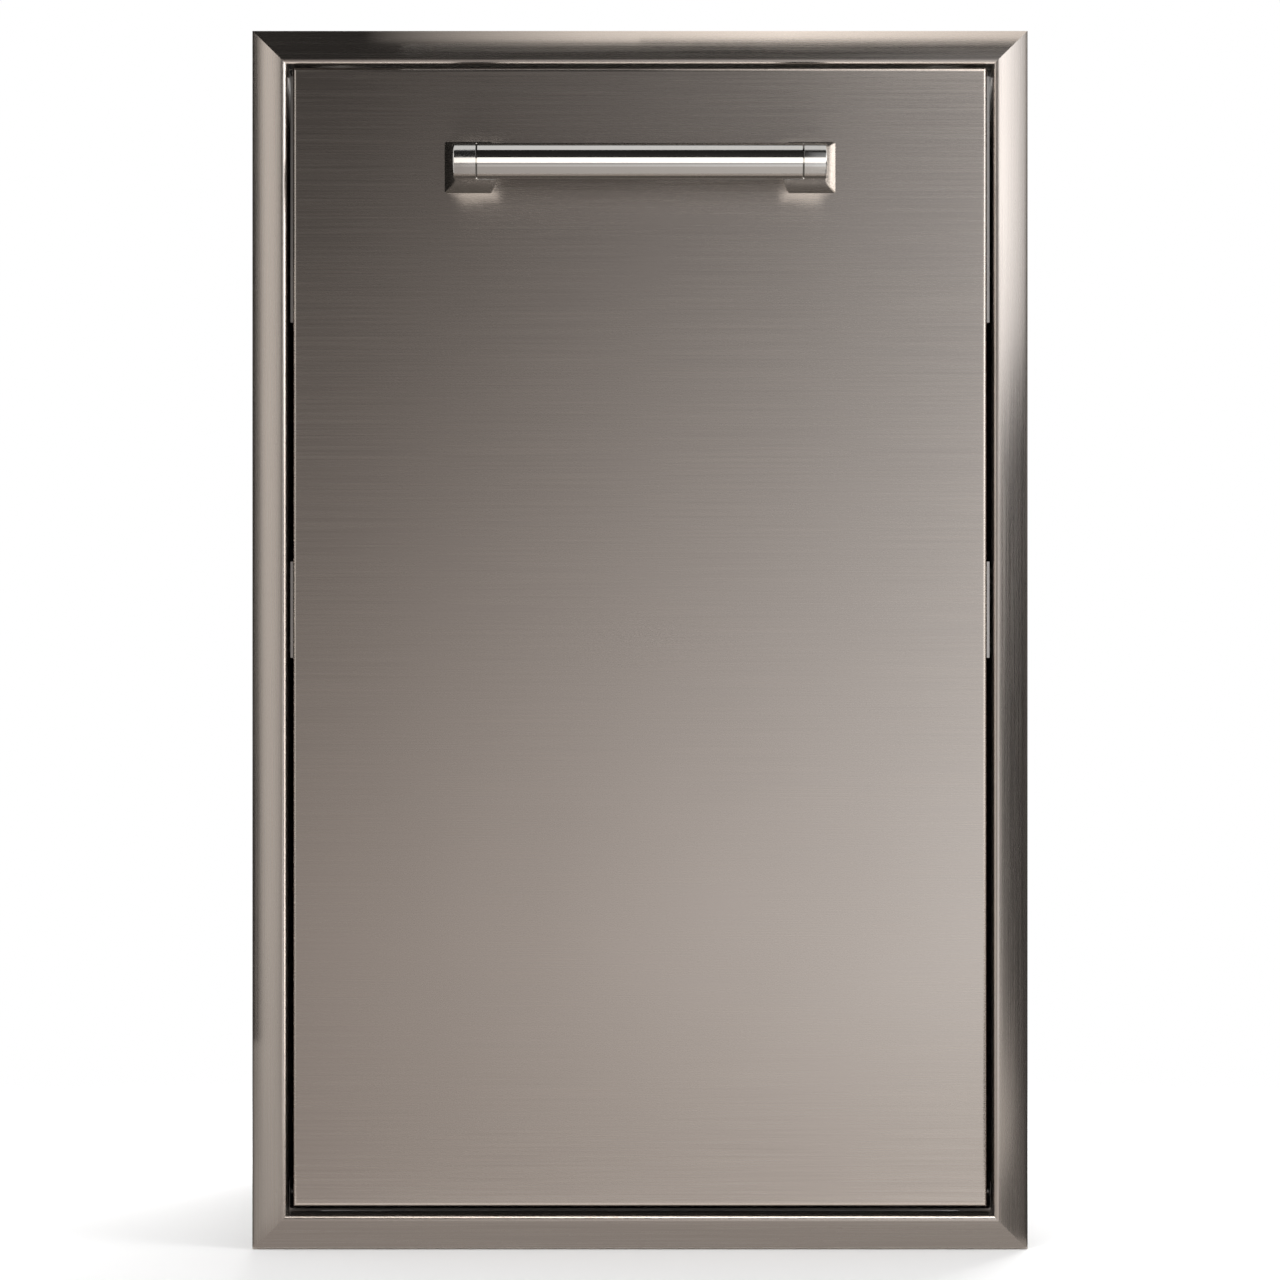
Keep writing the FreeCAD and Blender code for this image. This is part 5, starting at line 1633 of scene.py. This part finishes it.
def nut_tree():
    labels = ["Across Flats", "Height", "Bore"]
    tree, given, result = new_geometry_tree("hexagon_nuts", {label: "NodeSocketFloat" for label in labels})
    flats, height, bore = [given[label] for label in labels]
    middle = add_node(tree, "ShaderNodeCombineXYZ", Z=math_node(tree, "MULTIPLY", height, 0.5)).outputs[0]
    corner = math_node(tree, "DIVIDE", flats, math.sqrt(3))
    blank = round_bar(tree, NUT_SIDES, corner, height)
    bar = add_node(tree, "GeometryNodeTransform", Geometry=blank, Translation=middle).outputs[0]
    top = math_node(tree, "MULTIPLY", flats, CHAMFER_SHARE)
    base = math_node(tree, "ADD", top, math_node(tree, "MULTIPLY", height, math.sqrt(3)))
    cone = add_node(
        tree, "GeometryNodeMeshCone", Vertices=CONE_STEPS, Radius_Top=top, Radius_Bottom=base, Depth=height,
    ).outputs["Mesh"]
    chamfered = combined_in_tree(tree, "INTERSECT", Mesh_2=[bar, cone])
    long = math_node(tree, "MULTIPLY", height, BORE_REACH)
    hole = round_bar(tree, BORE_STEPS, bore, long)
    bored = combined_in_tree(tree, "DIFFERENCE", Mesh_1=[chamfered], Mesh_2=[hole])
    close_tree(tree, set_on_points(tree, given["Geometry"], bored), given, result)
    return tree


NUT_SIZES = {"Across Flats": 7 * MM, "Height": 3.2 * MM, "Bore": 2.1 * MM, "Finish": fastener_steel}
hexagon_nuts = nut_tree()
for node, facing in (("slide_nuts", 1), ("rail_nuts", -1)):
    places = [nut_place(points, facing) for points in solids_of(node)]
    nuts = grown_mesh(hexagon_nuts, points_mesh(node, places), NUT_SIZES, node)
    take_place(node, nuts, fastener_steel)

# %% [markdown]
# The slides run on rows of small steel balls. A sphere made of rings would crowd its faces at the poles,
# so one with even faces is set on the middle of every solid ball. A few hundred faces make it look round.

# %% Balls
BALL_DIVISIONS = 3


def ball_tree():
    tree, given, result = new_geometry_tree("balls", {"Radius": "NodeSocketFloat"})
    ball = add_node(tree, "GeometryNodeMeshIcoSphere", Radius=given["Radius"], Subdivisions=BALL_DIVISIONS)
    mesh = ball.outputs["Mesh"]
    placed = add_node(tree, "GeometryNodeInstanceOnPoints", Points=given["Geometry"], Instance=mesh)
    close_tree(tree, placed.outputs[0], given, result)
    return tree


balls = ball_tree()
for node in ("outer_balls", "inner_balls"):
    boxes = [box_of(points) for points in solids_of(node)]
    places = [((low + high) / 2, Vector((0, 0, 1)), 0.0) for low, high in boxes]
    radius = (boxes[0][1].z - boxes[0][0].z) / 2
    values = {"Radius": radius, "Finish": ball_steel}
    rows = grown_mesh(balls, points_mesh(node, places), values, node)
    take_place(node, rows, ball_steel)

# %% [markdown]
# ### Softened pieces
# What is left has the right shape already, apart from its edges: nothing stamped, moulded or turned is
# perfectly sharp. These pieces are copied from their solids, their flat faces are merged, and every sharp
# edge gets a small round that catches the light.

# %% Softened pieces
FLAT_ANGLE = math.radians(0.5)
SOFT_ANGLE = math.radians(40)
LEVER_ROUND = 0.5 * MM
BUMPER_ROUND = 0.6 * MM
SLIDE_ROUND = 0.25 * MM
BACK_PAN_ROUND = 0.3 * MM
SCREW_ROUND = 0.15 * MM


def is_sharp(edge):
    return edge.is_manifold and edge.calc_face_angle() > SOFT_ANGLE


def softened(node, radius, finish):
    shape = bmesh.new()
    shape.from_mesh(nodes[node].data)
    bmesh.ops.remove_doubles(shape, verts=shape.verts, dist=SAME_POINT)
    bmesh.ops.dissolve_limit(shape, angle_limit=FLAT_ANGLE, verts=shape.verts, edges=shape.edges)
    copy = mesh_from(shape, node)
    take_place(node, rounded_edges(copy, is_sharp, radius), finish, flat=True)


for end in ("left", "right"):
    softened("release_lever_" + end, LEVER_ROUND, lever_plastic)
    softened("slide_bumper_" + end, BUMPER_ROUND, bumper_rubber)
    for member in ("slide_outer_", "slide_middle_", "slide_inner_"):
        softened(member + end, SLIDE_ROUND, zinc_plate)
softened("door_back_pan", BACK_PAN_ROUND, mill_sheet)
for screws in ("slide_screws", "rail_screws", "handle_screws", "lever_pins"):
    softened(screws, SCREW_ROUND, fastener_steel)

# %% [markdown]
# ### Solids that stay
# The ball cages hide inside the slides. They keep their solids and only need a finish.

# %% Ball cages
cages = [row + "_cage_" + end for row in ("outer", "inner") for end in ("left", "right")]
for cage in cages:
    nodes[cage].material_slots[0].material = zinc_plate
print("solids that stay", cages)

# %% [markdown]
# ### Accents
# Narrow cards put the last accents where a photographer would. They draw the white line along the handle,
# the bright inner lips of the left stile, the sill and the top rail, and the thin light lines along the
# door's bent edges. Each is clear to everything except the pieces it is meant for, so that it can't wash
# out the rest.

# %% Accents on named pieces
HANDLE = ["handle_tube", "handle_post_right", "handle_post_left"]
DOOR = ["door_skin"]
OVERHEAD = 0.345
SILL_SPAN = (-0.3, 0.3)
ACCENT_HEIGHT = (-0.8, 0.8)
DOOR_LINE = (-0.06, -0.014)
upright_card("bar_card", across=(-0.5, 0.5), height=(0.07, 0.46), depth=-0.7, glow=even(1.4), pieces=HANDLE)
side_card(
    "lip_card", across=1.0, depth=(-0.6, 0.1), height=ACCENT_HEIGHT,
    glow=upwards(4.0, 3.0), pieces=["frame_left_stile"],
)
side_card("edge_card", across=0.9, depth=(-1.6, -0.1), height=ACCENT_HEIGHT, glow=even(1.0), pieces=DOOR)
level_card(
    "sill_card", across=SILL_SPAN, depth=(-0.75, 0.1), height=1.1,
    glow=sideways(1.8, 7.5), pieces=["frame_bottom_rail"],
)
level_card(
    "head_card", across=SILL_SPAN, depth=(-0.3, -0.013), height=-0.32,
    glow=sideways(1.2, 2.0), pieces=["frame_top_rail"],
)
level_card(
    "door_foot_card", across=(-0.25, 0.25), depth=DOOR_LINE, height=-0.328, glow=even(0.6), pieces=DOOR,
)
level_card(
    "door_head_card", across=(0.0, 0.25), depth=DOOR_LINE, height=OVERHEAD,
    glow=sideways(0.05, 2.6), pieces=DOOR,
)
print("accents ready")

# %% [markdown]
# Flags do the opposite. Two stand beside the frame, just behind its plane, and darken the turn of its
# outer edges. One hangs above and behind the frame. One is painted shade: a dark sheet inside the gap
# above the sill, which the metal behind the gap mirrors, so the gap looks shaded. Deep ones darken the
# strips of door and post that the polished bar mirrors.

# %% Dark flags
WALL_LINE = 0.2112
WALL_END = 0.25
WALL_HEIGHT = (-0.335, 0.335)
WALL_DEPTH = 0.002
BAR_SPAN = (-0.2, 0.2)
BAR_DEPTH = (-0.4, -0.013)
upright_card(
    "left_wall_flag", across=(-WALL_END, -WALL_LINE), height=WALL_HEIGHT, depth=WALL_DEPTH,
    glow=upwards(0.03, 0.02),
)
upright_card(
    "right_wall_flag", across=(WALL_LINE, WALL_END), height=WALL_HEIGHT, depth=WALL_DEPTH,
    glow=upwards(0.03, 0.2),
)
level_card("above_bar_flag", across=BAR_SPAN, depth=BAR_DEPTH, height=OVERHEAD, glow=even(0.01), deep=True)
level_card("below_bar_flag", across=BAR_SPAN, depth=BAR_DEPTH, height=0.15, glow=even(0.16), deep=True)
upright_card("behind_top_flag", across=BAR_SPAN, height=(0.44, 0.62), depth=0.1, glow=even(0.02))
# Painted shade: a dark sheet in the gap above the sill, seen only in reflections of the metal behind it.
upright_card("sill_flag", across=(-0.19, 0.19), height=(-0.3108, -0.3065), depth=0.012, glow=even(0.01))
side_card(
    "post_flag", across=-0.16, depth=(-0.3, -0.013), height=(0.205, OVERHEAD), glow=even(0.01), deep=True,
)
print("flags ready")

# %% [markdown]
# The top rail slopes back and mirrors what hangs over it: dark on the left, brightest right of the
# middle, and a little dimmer at the right end. A row of cards over the rail carries that fade from stop
# to stop, under a flag that keeps the white studio out.

# %% Cards over the top rail
TOP_DEPTH = (-0.018, 0.02)
TOP_END = 0.26
FLAG_HEIGHT = 0.346
FLAG_GLOW = even(0.02)
TOP_STOPS = ((-0.15, 0.0), (-0.03, 1.0), (0.08, 1.45), (TOP_END, 0.9))
level_card("top_flag", across=(-TOP_END, TOP_END), depth=TOP_DEPTH, height=FLAG_HEIGHT, glow=FLAG_GLOW)
level_card(
    "top_left_flag", across=(-TOP_END, -0.13), depth=(-0.035, TOP_DEPTH[0]), height=FLAG_HEIGHT,
    glow=FLAG_GLOW,
)
for i, ((start, dim), (end, bright)) in enumerate(zip(TOP_STOPS, TOP_STOPS[1:])):
    level_card(
        "top_card_" + str(i), across=(start, end), depth=TOP_DEPTH, height=OVERHEAD,
        glow=sideways(dim, bright), pieces=["frame_top_rail"],
    )
print("top cards", len(TOP_STOPS) - 1)
